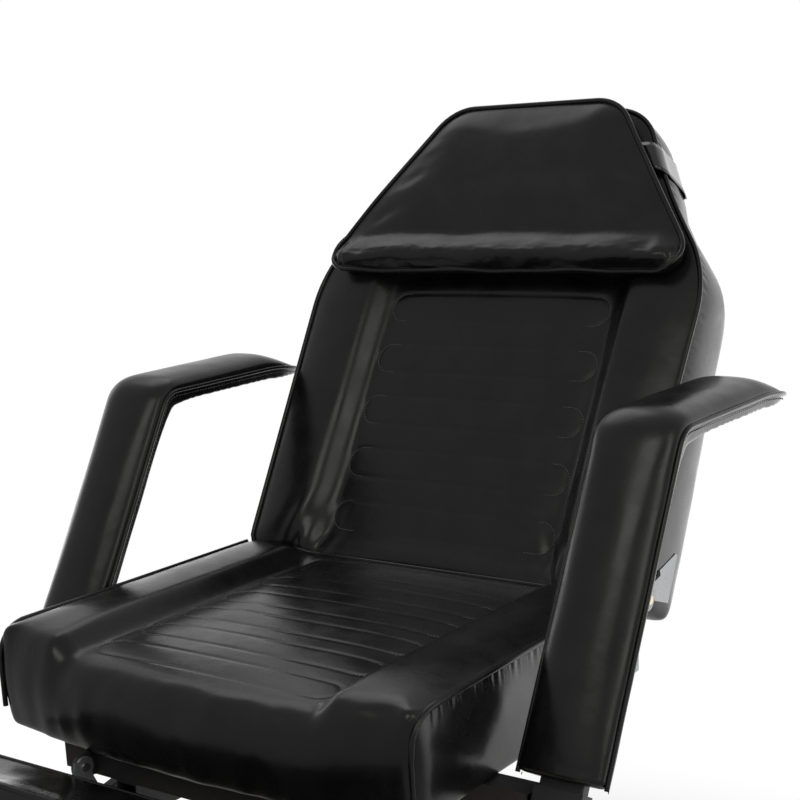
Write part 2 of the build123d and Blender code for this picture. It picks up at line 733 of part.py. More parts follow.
# Release lever on the left: a shaft through the bracket's bearing, a crank and a rubber grip
release_reach_x = 296.0
crank_length = 96.0
crank_width = 16.0
crank_drop = 12.0
grip_length = 64.0
grip_width = 24.0
grip_depth = 16.0
grip_round = 6.0
crank_plane = Plane(
    origin=spot(-release_reach_x, release_axis),
    x_dir=(0, -cos(radians(crank_drop)), -sin(radians(crank_drop))),
    z_dir=(-1, 0, 0),
)
grip_centre = crank_length + grip_round - grip_length / 2
with BuildPart() as release_lever:
    with BuildSketch(Plane.YZ.offset(-bracket_x + plate)):
        with Locations(release_axis):
            Circle(release_shaft_radius)
    extrude(amount=bracket_x - plate - release_reach_x)
    with BuildSketch(crank_plane):
        Circle(release_boss_radius)
        with Locations((crank_length / 2, 0)):
            Rectangle(crank_length, crank_width)
    extrude(amount=plate)
keep(release_lever, "release_lever")

with BuildPart() as release_grip:
    with BuildSketch(crank_plane.offset((plate - grip_depth) / 2)):
        with Locations((grip_centre, 0)):
            RectangleRounded(grip_length, grip_width, grip_round)
    extrude(amount=grip_depth)
    rims = release_grip.edges().group_by(Axis.X)
    fillet(rims[0] + rims[-1], tube_wall)
    with BuildSketch(crank_plane):
        with Locations((crank_length / 2, 0)):
            Rectangle(crank_length, crank_width)
    extrude(amount=plate, mode=Mode.SUBTRACT)
keep(release_grip, "release_grip")

# Leg rest hinge: ears on the front cross tube, and the pins through ears and leg rest brackets
link_plate_x = eye_outer_x + 2 * side_gap
hinge_x = link_plate_x + plate + side_gap
hinge_pin_radius = 5.0
leg_ear_radius = 13.0
hinge_tube_front_y = hinge_tube_y - cross_tube / 2
with BuildPart() as leg_hinge_ears:
    for side, way in sides:
        with BuildSketch(Plane.YZ.offset(way * hinge_x)):
            with BuildLine():
                Polyline(
                    (hinge_tube_front_y, tube_bottom_z),
                    (hinge_tube_front_y, board_bottom_z),
                    (leg_hinge[0], leg_hinge[1] + leg_ear_radius),
                    (leg_hinge[0], leg_hinge[1] - leg_ear_radius),
                    close=True,
                )
            make_face()
            with Locations(leg_hinge):
                Circle(leg_ear_radius)
                Circle(hinge_pin_radius, mode=Mode.SUBTRACT)
        extrude(amount=way * plate)
keep(leg_hinge_ears, "leg_hinge_ears")

with BuildPart() as leg_hinge_pins:
    for side, way in sides:
        with BuildSketch(Plane.YZ.offset(way * (link_plate_x - tube_wall))):
            with Locations(leg_hinge):
                Circle(hinge_pin_radius)
        extrude(amount=way * (hinge_x + plate - link_plate_x + tube_wall))
        with BuildSketch(Plane.YZ.offset(way * (hinge_x + plate))):
            with Locations(leg_hinge):
                RegularPolygon(2 * hinge_pin_radius - tube_wall, 6)
        extrude(amount=way * plate)
keep(leg_hinge_pins, "leg_hinge_pins")

# Armrest sockets: slanted rectangular sleeves on the ends of the arm cross tube, with clamp knobs
arm_cos = cos(radians(arm_leg_angle))
arm_sin = sin(radians(arm_leg_angle))
arm_band = 16.0
arm_crown = 20.0
arm_corner = (arm_corner_y, seat_height + arm_pad_height)
arm_foam_foot_z = 538.0
socket_length = 52.0
socket_bottom_z = 486.0
arm_bar_foot_z = socket_bottom_z + socket_wall


def arm_place(height):
    """Side-view place on the slanted leg of the armrest's seam line at a height from the floor."""
    return (arm_corner[0] - (arm_corner[1] - height) * arm_cos / arm_sin, height)


def arm_leg_plane(x, height):
    """Plane square across the slanted leg of an armrest; its Y looks back and down."""
    return Plane(origin=spot(x, arm_place(height)), x_dir=(1, 0, 0), z_dir=(0, arm_cos, arm_sin))


knob_radius = 17.0
knob_length = 20.0
knob_stem_radius = 5.0
knob_stem_length = 14.0
knob_scallops = 6
knob_scallop_radius = 4.25
bar_centre = arm_band / 2
sleeve_width = arm_bar_width + 2 * running_fit
sleeve_depth = arm_bar_depth + 2 * running_fit
knob_height = socket_bottom_z + socket_length * arm_sin / 2
for side, way in sides:
    knob_seat = arm_leg_plane(way * arm_x, knob_height)
    boss_plane = Plane(
        origin=knob_seat.from_local_coords((0, bar_centre + sleeve_depth / 2, 0)),
        x_dir=(1, 0, 0),
        z_dir=knob_seat.y_dir,
    )
    with BuildPart() as arm_socket:
        with BuildSketch(arm_leg_plane(way * arm_x, socket_bottom_z)):
            with Locations((0, bar_centre)):
                Rectangle(sleeve_width + 2 * socket_wall, sleeve_depth + 2 * socket_wall)
                Rectangle(sleeve_width, sleeve_depth, mode=Mode.SUBTRACT)
        extrude(amount=socket_length)
        with BuildSketch(boss_plane):
            Circle(2 * knob_stem_radius)
        extrude(amount=2 * socket_wall)
        with BuildSketch(boss_plane):
            Circle(knob_stem_radius + running_fit)
        extrude(amount=2 * socket_wall, mode=Mode.SUBTRACT)
    keep(arm_socket, f"arm_socket_{side}")
    with BuildPart() as arm_knob:
        with BuildSketch(boss_plane.offset(contact_gap)):
            Circle(knob_stem_radius)
        extrude(amount=knob_stem_length)
        with BuildSketch(boss_plane.offset(knob_stem_length)):
            Circle(knob_radius)
            with PolarLocations(knob_radius, knob_scallops):
                Circle(knob_scallop_radius, mode=Mode.SUBTRACT)
        extrude(amount=knob_length)
    keep(arm_knob, f"arm_knob_{side}")

# Armrests: a bent steel bar that slides into the socket, wrapped in a crowned pad
arm_bend_radius = 72.0
pad_tip_radius = 6.0
for side, way in sides:
    with BuildPart() as arm_bar:
        with BuildLine(Plane.YZ.offset(way * arm_x)):
            FilletPolyline(
                arm_place(arm_bar_foot_z),
                arm_corner,
                (arm_pad_rear_y - 2 * knob_radius, arm_corner[1]),
                radius=arm_bend_radius,
            )
        with BuildSketch(arm_leg_plane(way * arm_x, arm_bar_foot_z)):
            with Locations((0, bar_centre)):
                RectangleRounded(arm_bar_width, arm_bar_depth, tube_wall)
        sweep()
    keep(arm_bar, f"arm_bar_{side}")
    with BuildPart() as arm_pad:
        with BuildLine(Plane.YZ.offset(way * arm_x)):
            FilletPolyline(
                arm_place(arm_foam_foot_z),
                arm_corner,
                (arm_pad_rear_y, arm_corner[1]),
                radius=arm_bend_radius,
            )
        with BuildSketch(arm_leg_plane(way * arm_x, arm_foam_foot_z)):
            with BuildLine():
                band_half_width = (arm_width - side_draw) / 2
                back = Line((-band_half_width, arm_band), (band_half_width, arm_band))
                near = Line(back @ 1, (arm_width / 2, 0))
                crown = ThreePointArc(near @ 1, (0, -arm_crown), (-arm_width / 2, 0))
                Line(crown @ 1, back @ 0)
            make_face()
        sweep()
        tip = arm_pad.faces().sort_by(Axis.Y)[-1].edges()
        fillet(tip.filter_by(lambda edge: edge.length > arm_width / 2), pad_tip_radius)
        add(arm_bar.part, mode=Mode.SUBTRACT)
    keep(arm_pad, f"arm_pad_{side}")

# Back: outline with straight flanks, rounded shoulders and a narrower head, seen square to its face
back_shoulder_up = 348.0
shoulder_radius = 165.0
shoulder_turn = 38.0
neck_radius = 790.0
neck_turn = 12.0
head_corner_radius = 75.0
head_rise = 4.0
back_foot_drop = 4.0
back_foot_corner = 14.0
flank_length = back_shoulder_up + back_foot_drop
flank_angle = degrees(atan2(flank_length, back_half_width_shoulder - back_half_width_bottom))
head_corner_turn = 180 - head_rise - flank_angle - shoulder_turn + neck_turn


def back_outline(inset):
    """Outline of the back, drawn in by an inset."""
    with BuildSketch(mode=Mode.PRIVATE) as outline:
        with BuildLine():
            foot = (back_half_width_bottom, -back_foot_drop)
            flank = Line(foot, (back_half_width_shoulder, back_shoulder_up))
            shoulder = JernArc(flank @ 1, flank % 1, shoulder_radius, shoulder_turn)
            neck = JernArc(shoulder @ 1, shoulder % 1, neck_radius, -neck_turn)
            corner = JernArc(neck @ 1, neck % 1, head_corner_radius, head_corner_turn)
            head_radius = (corner @ 1).X / sin(radians(head_rise))
            JernArc(corner @ 1, corner % 1, head_radius, head_rise)
            mirror(about=Plane.YZ)
            Line(foot, (-back_half_width_bottom, -back_foot_drop))
        make_face()
        fillet(outline.vertices().group_by(Axis.Y)[0], back_foot_corner)
        if inset > 0:
            offset(amount=-inset)
    return outline.sketch


def back_section(up):
    """Plane square across the back at a height along it; its Y looks ahead and its normal down the back."""
    return Plane(origin=spot(0, back_point(up, 0)), x_dir=(1, 0, 0), z_dir=(0, -back_cos, -back_sin))


def rear_point(up, behind):
    """Side-view place behind the back's leaning rear, at a height along that rear."""
    place = back_rear.from_local_coords((0, up, -behind))
    return (place.Y, place.Z)


back_board_thickness = 12.0
batten_width = 16.0
batten_depth = 42.0
batten_length = 130.0
back_plate_height = 76.0
back_plate_depth = 99.0
back_plate_shares = ((0.2, 0.3), (1.0, 0.92), (1.0, 0.97), (0.22, 1.0), (0.1, 0.535))
back_plate_outer_x = seat_plate_x + plate + side_gap
back_plate_inner_x = seat_plate_x - tube_wall
joggle_start = 53.0
joggle_length = 8.0
bolt_head_radius = 5.5
bolt_head_height = 3.0
plate_screw_shares = ((0.36, 0.85), (0.76, 0.89))
plate_screw_head_radius = 5.5
plate_screw_depth = 22.0
plate_screws_at = [
    back_point(back_plate_height * up, -back_plate_depth * behind)
    for up, behind in plate_screw_shares
]

with BuildPart() as recline_bolts:
    for side, way in sides:
        with BuildSketch(Plane.YZ.offset(way * (back_plate_inner_x + side_gap))):
            with Locations(recline_pivot):
                Circle(pivot_radius)
        extrude(amount=way * (back_plate_outer_x + plate - back_plate_inner_x - side_gap))
        with BuildSketch(Plane.YZ.offset(way * (back_plate_outer_x + plate))):
            with Locations(recline_pivot):
                Circle(bolt_head_radius)
        extrude(amount=way * bolt_head_height)
keep(recline_bolts, "recline_bolts")

with BuildPart() as back_plate_screws:
    for side, way in sides:
        with BuildSketch(Plane.YZ.offset(way * (back_plate_inner_x + plate - plate_screw_depth))):
            with Locations(*plate_screws_at):
                Circle(screw_radius)
        extrude(amount=way * plate_screw_depth)
        with BuildSketch(Plane.YZ.offset(way * (back_plate_inner_x + plate - tube_wall))):
            with Locations(*plate_screws_at):
                Circle(plate_screw_head_radius)
        extrude(amount=way * tube_wall)
keep(back_plate_screws, "back_plate_screws")

for side, way in sides:
    with BuildPart() as back_plate:
        with BuildSketch(back_section(back_plate_height + cut_overrun)):
            with BuildLine():
                Polyline(
                    (way * back_plate_outer_x, lobe_radius),
                    (way * (back_plate_outer_x + plate), lobe_radius),
                    (way * (back_plate_outer_x + plate), -joggle_start),
                    (way * (back_plate_inner_x + plate), -joggle_start - joggle_length),
                    (way * (back_plate_inner_x + plate), -back_plate_depth - cut_overrun),
                    (way * back_plate_inner_x, -back_plate_depth - cut_overrun),
                    (way * back_plate_inner_x, -joggle_start - joggle_length),
                    (way * back_plate_outer_x, -joggle_start),
                    close=True,
                )
            make_face()
        extrude(amount=back_plate_height + 2 * lobe_radius)
        with BuildSketch(Plane.YZ.offset(way * (back_plate_inner_x - side_gap))):
            with BuildLine():
                corners = [
                    back_point(back_plate_height * up, -back_plate_depth * behind)
                    for up, behind in back_plate_shares
                ]
                Polyline(*corners, close=True)
            make_face()
            with Locations(recline_pivot):
                Circle(lobe_radius - side_gap)
        extrude(amount=way * (back_plate_outer_x - back_plate_inner_x + 2 * plate), mode=Mode.INTERSECT)
        add(recline_bolts.part, mode=Mode.SUBTRACT)
        add(back_plate_screws.part, mode=Mode.SUBTRACT)
    keep(back_plate, f"back_side_plate_{side}")

batten_x = back_half_width_bottom - board_inset - batten_width / 2
with BuildPart() as back_board:
    with BuildSketch(back_rear):
        add(back_outline(board_inset))
    extrude(amount=back_board_thickness)
    with BuildSketch(back_rear.offset(back_board_thickness)):
        with Locations(*[(way * batten_x, board_inset + batten_length / 2) for side, way in sides]):
            Rectangle(batten_width, batten_length)
    extrude(amount=batten_depth - back_board_thickness)
    add(back_plate_screws.part, mode=Mode.SUBTRACT)
keep(back_board, "back_board")

back_cover_thickness = 3.0
with BuildPart() as back_cover:
    with BuildSketch(back_rear.offset(-back_cover_thickness)):
        add(back_outline(side_draw))
    extrude(amount=back_cover_thickness)
keep(back_cover, "back_cover")

back_channel_pitch = 75.0
back_channel_count = 5
back_channel_first_up = 55.0
back_sink_top_up = 430.0
back_bolster_outer_x = back_half_width_bottom - bolster_edge
back_bolster_fade_up = 388.0
back_channel_ups = [back_channel_first_up + step * back_channel_pitch for step in range(back_channel_count)]
back_bolster_full_up = back_bolster_fade_up - 2 * channel_height
back_bolster_ends = (back_bolster_fade_up, back_bolster_full_up, channel_height, bolster_edge)
back_bolster_rises = (bolster_fade, bolster_rise, bolster_rise, side_draw)
with BuildPart() as back_cushion:
    for depth_share, inset in ((1.0, bottom_draw), (0.5, side_draw), (0.0, side_gap)):
        with BuildSketch(back_layer(depth_share)):
            add(back_outline(inset))
    loft(ruled=True)
    rear_foot = back_cushion.edges().filter_by(Axis.X).group_by(Axis.Z)[0]
    fillet(rear_foot, board_inset)
    for side, way in sides:
        arches = []
        for up, rise in zip(back_bolster_ends, back_bolster_rises):
            arches.append(lens(back_section(up), bolster_inner_x, back_bolster_outer_x, rise, way))
        loft(arches, ruled=True)
    back_sink = sink(back_section(back_sink_top_up), sink_depth)
    extrude(back_sink, amount=back_sink_top_up + 2 * cut_overrun, mode=Mode.SUBTRACT)
    channels = channel_rows(back_face.offset(-sink_depth - channel_depth), back_channel_ups)
    extrude(channels, amount=2 * channel_depth, mode=Mode.SUBTRACT)
    add(back_board.part, mode=Mode.SUBTRACT)
    add(back_plate_screws.part, mode=Mode.SUBTRACT)
keep(back_cushion, "back_cushion")

# Lost-motion slots: the springs' top pins drift this far in their brackets, as seen at rest from the pin
back_slot_drift = ((0.3, 1.0), (-11.4, 5.4))
leg_slot_drift = ((0.9, 0.0), (-2.4, 9.3))
slot_play = 1.4
link_plate_lobe = 12.0


def drift_slot(pin, drift):
    """Slot for a spring's top pin, drawn in the side view."""
    with BuildSketch(Plane.YZ.offset(-link_plate_x + cut_overrun)) as slot:
        start = (pin[0] + drift[0][0], pin[1] + drift[0][1])
        end = (pin[0] + drift[1][0], pin[1] + drift[1][1])
        middle = ((start[0] + end[0]) / 2, (start[1] + end[1]) / 2)
        SlotCenterPoint(middle, end, 2 * (strut_pin_radius + slot_play))
    return slot.sketch


back_bracket_height = 78.0
flange_width = 30.0
with BuildPart() as back_bracket:
    with BuildSketch(Plane.YZ.offset(-link_plate_x)):
        with BuildLine():
            Polyline(
                rear_point(0, back_cover_thickness),
                rear_point(back_bracket_height, back_cover_thickness),
                rear_point(back_bracket_height, back_cover_thickness + plate),
                along(back_strut_top, rear_point(back_bracket_height, 0), link_plate_lobe),
                back_strut_top,
                rear_point(0, back_cover_thickness + plate),
                close=True,
            )
        make_face()
        with Locations(back_strut_top):
            Circle(link_plate_lobe)
    extrude(amount=-plate)
    with BuildSketch(back_rear.offset(-back_cover_thickness - plate)):
        with Locations((-link_plate_x - plate - flange_width / 2, back_bracket_height / 2)):
            Rectangle(flange_width + 2 * plate, back_bracket_height)
    extrude(amount=plate)
    extrude(drift_slot(back_strut_top, back_slot_drift), amount=-2 * plate - cut_overrun, mode=Mode.SUBTRACT)
keep(back_bracket, "back_bracket")

# Head pillow: tapered, with a crowned face, a thick roll along its foot and a strap round the back's head
pillow_foot_up = 395.0
pillow_top_up = 638.0
pillow_foot_half_width = 292.6
pillow_top_half_width = 128.8
pillow_foot_corner = 28.0
pillow_top_corner = 40.0
pillow_lift = 2.5
pillow_edge = 22.0
pillow_crown = 34.0
pillow_roll_radius = 20.0
pillow_roll_half_length = 212.0
strap_foot_up = 540.0
strap_width = 40.0
strap_thickness = 2.0
strap_half_width = 204.0
strap_rear = 71.5
strap_corner = 5.0


def pillow_outline(inset):
    """Outline of the head pillow, drawn in by an inset."""
    with BuildSketch(mode=Mode.PRIVATE) as outline:
        with BuildLine():
            Polyline(
                (pillow_foot_half_width, pillow_foot_up),
                (pillow_top_half_width, pillow_top_up),
                (-pillow_top_half_width, pillow_top_up),
                (-pillow_foot_half_width, pillow_foot_up),
                close=True,
            )
        make_face()
        fillet(outline.vertices().group_by(Axis.Y)[0], pillow_foot_corner)
        fillet(outline.vertices().group_by(Axis.Y)[-1], pillow_top_corner)
        if inset > 0:
            offset(amount=-inset)
    return outline.sketch


pillow_layers = (
    (pillow_lift, side_draw),
    (pillow_edge / 2, side_gap),
    (pillow_edge, 2 * side_gap),
    (pillow_crown, pillow_edge),
)
with BuildPart() as head_pillow:
    for ahead, inset in pillow_layers:
        with BuildSketch(back_face.offset(ahead)):
            add(pillow_outline(inset))
    loft(ruled=True)
    roll_up = pillow_foot_up + pillow_roll_radius + side_draw
    roll_place = back_point(roll_up, pillow_lift + pillow_roll_radius)
    with BuildSketch(Plane.YZ):
        with Locations(roll_place):
            Circle(pillow_roll_radius)
    extrude(amount=pillow_roll_half_length, both=True)
    with Locations(spot(-pillow_roll_half_length, roll_place), spot(pillow_roll_half_length, roll_place)):
        Sphere(pillow_roll_radius)
keep(head_pillow, "head_pillow")

strap_depth = strap_rear + side_gap
strap_outer_width = 2 * (strap_half_width + strap_thickness)
with BuildPart() as pillow_strap:
    with BuildSketch(back_section(strap_foot_up + strap_width)):
        with Locations((0, side_gap - strap_depth / 2)):
            RectangleRounded(strap_outer_width, strap_depth + 2 * strap_thickness, strap_corner)
            inner_corner = strap_corner - strap_thickness
            RectangleRounded(2 * strap_half_width, strap_depth, inner_corner, mode=Mode.SUBTRACT)
    extrude(amount=strap_width)
keep(pillow_strap, "pillow_strap")

# Leg rest: board and cushion, shaped as the seat's, on two brackets and a cross tube
leg_start = 5.0
leg_foot_corner = 45.0
leg_channel_pitch = 70.0
leg_channel_count = 5
leg_channel_first_out = 62.0
leg_bracket_length = 100.0
leg_tube_out = 74.0
leg_tube_depth = 25.0
leg_top_above = leg_board_above + board_thickness + cushion_thickness


def leg_outline(inset):
    """Outline of the leg rest, drawn in by an inset; it starts at the seat's end and runs down to the foot."""
    foot = -leg_start - leg_length
    with BuildSketch(mode=Mode.PRIVATE) as outline:
        with BuildLine():
            Polyline(
                (leg_half_width, -leg_start),
                (leg_foot_half_width, foot),
                (-leg_foot_half_width, foot),
                (-leg_half_width, -leg_start),
                close=True,
            )
        make_face()
        fillet(outline.vertices().group_by(Axis.Y)[0], leg_foot_corner)
        if inset > 0:
            offset(amount=-inset)
    return outline.sketch


with BuildPart() as leg_board:
    with BuildSketch(leg_board_plane):
        add(leg_outline(board_inset))
    extrude(amount=board_thickness)
keep(leg_board, "leg_board")

leg_cushion_foot = leg_board_plane.offset(board_thickness)
leg_face = leg_cushion_foot.offset(cushion_thickness)
leg_channel_places = [-leg_channel_first_out - step * leg_channel_pitch for step in range(leg_channel_count)]
leg_bolster_ends = (
    leg_start + side_draw,
    leg_start + channel_height,
    leg_length - 2 * channel_height,
    leg_length - channel_height / 2,
)
leg_bolster_outer_x = leg_foot_half_width - bolster_edge
leg_bolster_rises = (side_draw, bolster_rise, bolster_rise, bolster_fade)


def leg_section(out):
    """Plane square across the leg rest at a distance out along it; its Y looks up from the cushion."""
    place = spot(0, leg_point(out, leg_top_above))
    return Plane(origin=place, x_dir=(1, 0, 0), z_dir=(0, -leg_cos, -leg_sin))


with BuildPart() as leg_cushion:
    for layer, inset in ((0.0, bottom_draw), (0.5, side_draw), (1.0, side_gap)):
        with BuildSketch(leg_cushion_foot.offset(cushion_thickness * layer)):
            add(leg_outline(inset))
    loft(ruled=True)
    for side, way in sides:
        arches = []
        for out, rise in zip(leg_bolster_ends, leg_bolster_rises):
            arches.append(lens(leg_section(out), bolster_inner_x, leg_bolster_outer_x, rise, way))
        loft(arches, ruled=True)
    extrude(sink(leg_section(0), sink_depth), amount=leg_length + 2 * leg_start, mode=Mode.SUBTRACT)
    channels = channel_rows(leg_face.offset(-sink_depth - channel_depth), leg_channel_places)
    extrude(channels, amount=2 * channel_depth, mode=Mode.SUBTRACT)
keep(leg_cushion, "leg_cushion")

leg_bracket_shares = (
    (-0.05, 1.0),
    (1.0, 1.0),
    (1.0, 0.4),
    (0.6, -2.3),
    (0.35, -2.3),
    (0.08, -0.8),
    (-0.1, -0.5),
)
with BuildPart() as leg_rest_brackets:
    for side, way in sides:
        with BuildSketch(Plane.YZ.offset(way * link_plate_x)):
            with BuildLine():
                corners = [
                    leg_point(leg_bracket_length * out, leg_board_above * above)
                    for out, above in leg_bracket_shares
                ]
                Polyline(*corners, close=True)
            make_face()
            with Locations(leg_hinge, leg_strut_top):
                Circle(link_plate_lobe)
            with Locations(leg_hinge):
                Circle(hinge_pin_radius + running_fit, mode=Mode.SUBTRACT)
        extrude(amount=way * plate)
        flange_start = leg_ear_radius + plate
        with BuildSketch(leg_board_plane.offset(-plate)):
            flange_x = way * (link_plate_x + flange_width / 2)
            with Locations((flange_x, -(flange_start + leg_bracket_length) / 2)):
                Rectangle(flange_width, leg_bracket_length - flange_start)
        extrude(amount=plate)
    extrude(drift_slot(leg_strut_top, leg_slot_drift), amount=-2 * plate - cut_overrun, mode=Mode.SUBTRACT)
keep(leg_rest_brackets, "leg_rest_brackets")

with BuildPart() as leg_cross_tube:
    with BuildSketch(Plane.YZ.offset(-link_plate_x)):
        with BuildLine():
            Polyline(
                leg_point(leg_tube_out, leg_board_above),
                leg_point(leg_tube_out + leg_tube_depth, leg_board_above),
                leg_point(leg_tube_out + leg_tube_depth, leg_board_above - leg_tube_depth),
                leg_point(leg_tube_out, leg_board_above - leg_tube_depth),
                close=True,
            )
        make_face()
        offset(amount=-tube_wall, mode=Mode.SUBTRACT)
    extrude(amount=2 * link_plate_x)
keep(leg_cross_tube, "leg_cross_tube")

# Gas springs: a cylinder that turns on its foot pin, and a rod with a piston, an eye and the top pin
spring_neck_radius = 6.0
spring_body_start = 20.0
spring_body_length = 190.0
spring_body_radius = 11.0
spring_bore_radius = 10.0
spring_end_wall = 10.0
spring_rod_radius = 4.5
spring_piston_reach = 200.0
spring_piston_length = 12.0


def spring_eye(place, hole):
    """Eye of a gas spring, round a pin along X."""
    with BuildPart() as eye:
        with BuildSketch(Plane.YZ.offset(-eye_outer_x)):
            with Locations(place):
                Circle(eye_radius)
                Circle(hole, mode=Mode.SUBTRACT)
        extrude(amount=2 * eye_half_width)
    return eye.part


for name, foot, top in (("back", back_strut_foot, back_strut_top), ("leg", leg_strut_foot, leg_strut_top)):
    length = ((top[0] - foot[0]) ** 2 + (top[1] - foot[1]) ** 2) ** 0.5
    spring_plane = Plane(
        origin=spot(-strut_x, foot), x_dir=(1, 0, 0), z_dir=(0, top[0] - foot[0], top[1] - foot[1])
    )
    with BuildPart() as spring_cylinder:
        with BuildSketch(spring_plane.offset(eye_radius / 2 + strut_pin_radius)):
            Circle(spring_neck_radius)
        extrude(amount=spring_body_start)
        with BuildSketch(spring_plane.offset(spring_body_start)):
            Circle(spring_body_radius)
        extrude(amount=spring_body_length)
        with BuildSketch(spring_plane.offset(spring_body_start + spring_end_wall)):
            Circle(spring_bore_radius)
        extrude(amount=spring_body_length - 2 * spring_end_wall, mode=Mode.SUBTRACT)
        with BuildSketch(spring_plane.offset(spring_body_start + spring_body_length)):
            Circle(spring_rod_radius + running_fit)
        extrude(amount=-2 * spring_end_wall, mode=Mode.SUBTRACT)
        add(spring_eye(foot, strut_pin_radius + running_fit))
    keep(spring_cylinder, f"{name}_spring_cylinder")
    with BuildPart() as spring_rod:
        with BuildSketch(spring_plane.offset(length - spring_piston_reach)):
            Circle(spring_rod_radius)
        extrude(amount=spring_piston_reach - strut_pin_radius - tube_wall)
        with BuildSketch(spring_plane.offset(length - spring_piston_reach)):
            Circle(spring_bore_radius - running_fit)
        extrude(amount=spring_piston_length)
        add(spring_eye(top, strut_pin_radius))
    keep(spring_rod, f"{name}_spring_rod")
    with BuildPart() as top_pin:
        with BuildSketch(Plane.YZ.offset(-eye_inner_x)):
            with Locations(top):
                Circle(strut_pin_radius)
        extrude(amount=eye_inner_x - link_plate_x - plate - side_gap)
        collar_plane = Plane.YZ.offset(-eye_inner_x + tube_wall)
        washer_plane = Plane.YZ.offset(-link_plate_x - plate - side_gap)
        with BuildSketch(collar_plane, washer_plane):
            with Locations(top):
                Circle(eye_radius - tube_wall)
        extrude(amount=-tube_wall)
    keep(top_pin, f"{name}_spring_pin")
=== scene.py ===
"""Dressed model of a hydraulic tattoo chair: padded vinyl, piping, stitching and finishes on its frame.

Metres, +Z up, in the frame's own axes. The chair faces -Y, and +X is to the right of someone facing it.
"""

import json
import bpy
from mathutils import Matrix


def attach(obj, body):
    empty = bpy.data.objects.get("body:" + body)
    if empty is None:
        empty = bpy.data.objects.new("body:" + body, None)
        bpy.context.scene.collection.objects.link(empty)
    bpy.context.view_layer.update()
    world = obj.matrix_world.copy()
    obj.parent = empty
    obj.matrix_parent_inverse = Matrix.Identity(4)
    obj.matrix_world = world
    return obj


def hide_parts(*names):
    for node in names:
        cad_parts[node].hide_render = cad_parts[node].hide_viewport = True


bl_info = {
    "name": "Tattoo Chair",
    "version": (1, 0, 0),
    "blender": (4, 5, 0),
    "location": "3D View > Sidebar > Tattoo Chair",
    "description": "Builds the padding, piping, stitching, finishes and studio of a hydraulic tattoo chair",
    "category": "Object",
}

from math import cos, hypot, pi, radians, sin

import bmesh
import bpy
import numpy as np
from bpy.props import FloatProperty, FloatVectorProperty, IntProperty, PointerProperty
from mathutils import Matrix, Vector, noise
from mathutils.bvhtree import BVHTree

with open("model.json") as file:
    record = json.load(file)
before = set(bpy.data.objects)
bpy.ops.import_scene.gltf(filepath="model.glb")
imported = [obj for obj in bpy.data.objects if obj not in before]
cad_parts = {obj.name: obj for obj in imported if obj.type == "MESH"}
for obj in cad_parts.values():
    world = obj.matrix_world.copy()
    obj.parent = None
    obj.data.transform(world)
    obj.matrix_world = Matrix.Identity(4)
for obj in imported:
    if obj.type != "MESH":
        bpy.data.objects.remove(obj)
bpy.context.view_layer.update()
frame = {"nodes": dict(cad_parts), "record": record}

# Sizes shared by the seat, back and leg rest, in metres
BACK_ANGLE = radians(58.5)
LEG_ANGLE = radians(75.0)
CUSHION_DEPTH = 0.098
BOARD_THICKNESS, BOARD_COVER = 0.015, 0.0008
SINK_DEPTH, SINK_CROWN = 0.016, 0.002
SINK_FLOOR_X, SINK_RIM_X = 0.172, 0.203
SLOPE_X, SLOPE_HALF = 0.185, 0.02
BOLSTER_RISE, BOLSTER_SPRING = 0.010, 0.046
RING_LENGTH, RING_HEIGHT, RING_ARC_POINTS = 0.340, 0.040, 14
GROOVE_DEPTH, GROOVE_WIDTH, RING_FULLNESS = 0.0007, 0.0022, 0.0001
REAR_FOLD = 0.006
CELL, PILLOW_CELL = 0.0105, 0.008
OUTLINE_STEP = 0.004

# Origins of the axes: the back's foot, the seat's piped plane and the leg rest's hinge
BACK_FOOT = Vector((0.0, 0.183, 0.640))
SEAT_PLANE = Vector((0.0, 0.0, 0.640))
LEG_HINGE = Vector((0.0, -0.268, 0.512))


class Face:
    """Local axes of a cushion: x across, v up the cushion's face and n out of it."""

    def __init__(self, origin, up):
        self.origin = np.array(origin)
        across, up = Vector((1, 0, 0)), Vector(up).normalized()
        self.axes = np.array([across, up, across.cross(up)])

    def place(self, points):
        """World places of local (x, v, n) points."""
        return self.origin + np.asarray(points, float) @ self.axes

    def local(self, points):
        """Local (x, v, n) of world places."""
        return (np.asarray(points, float) - self.origin) @ self.axes.T


BACK = Face(BACK_FOOT, (0, cos(BACK_ANGLE), sin(BACK_ANGLE)))
SEAT = Face(SEAT_PLANE, (0, 1, 0))
LEG = Face(LEG_HINGE, (0, cos(LEG_ANGLE), sin(LEG_ANGLE)))


class ChairPadding(bpy.types.PropertyGroup):
    swell_pressure: FloatProperty(
        name="Swell pressure", description="Pressure of the foam under the vinyl", default=4.0, min=0.0,
        max=20.0
    )
    swell_limit: FloatProperty(
        name="Swell limit", description="Furthest that the foam pushes the vinyl out", default=0.006, min=0.0,
        max=0.03, unit="LENGTH"
    )
    swell_frames: IntProperty(
        name="Swell frames", description="Steps of the cloth simulation", default=10, min=2
    )
    piping_radius: FloatProperty(
        name="Piping radius", description="Radius of the piping cord", default=0.0031, min=0.001,
        unit="LENGTH"
    )
    wrinkle_height: FloatProperty(
        name="Wrinkle height", description="Height of the vinyl's soft wrinkles", default=0.0011, min=0.0,
        unit="LENGTH"
    )
    stitch_pitch: FloatProperty(
        name="Stitch pitch", description="Distance from one stitch to the next", default=0.0042, min=0.002,
        unit="LENGTH"
    )
    stitch_radius: FloatProperty(
        name="Thread radius", description="Radius of the sewing thread", default=0.0006, min=0.0002,
        unit="LENGTH"
    )


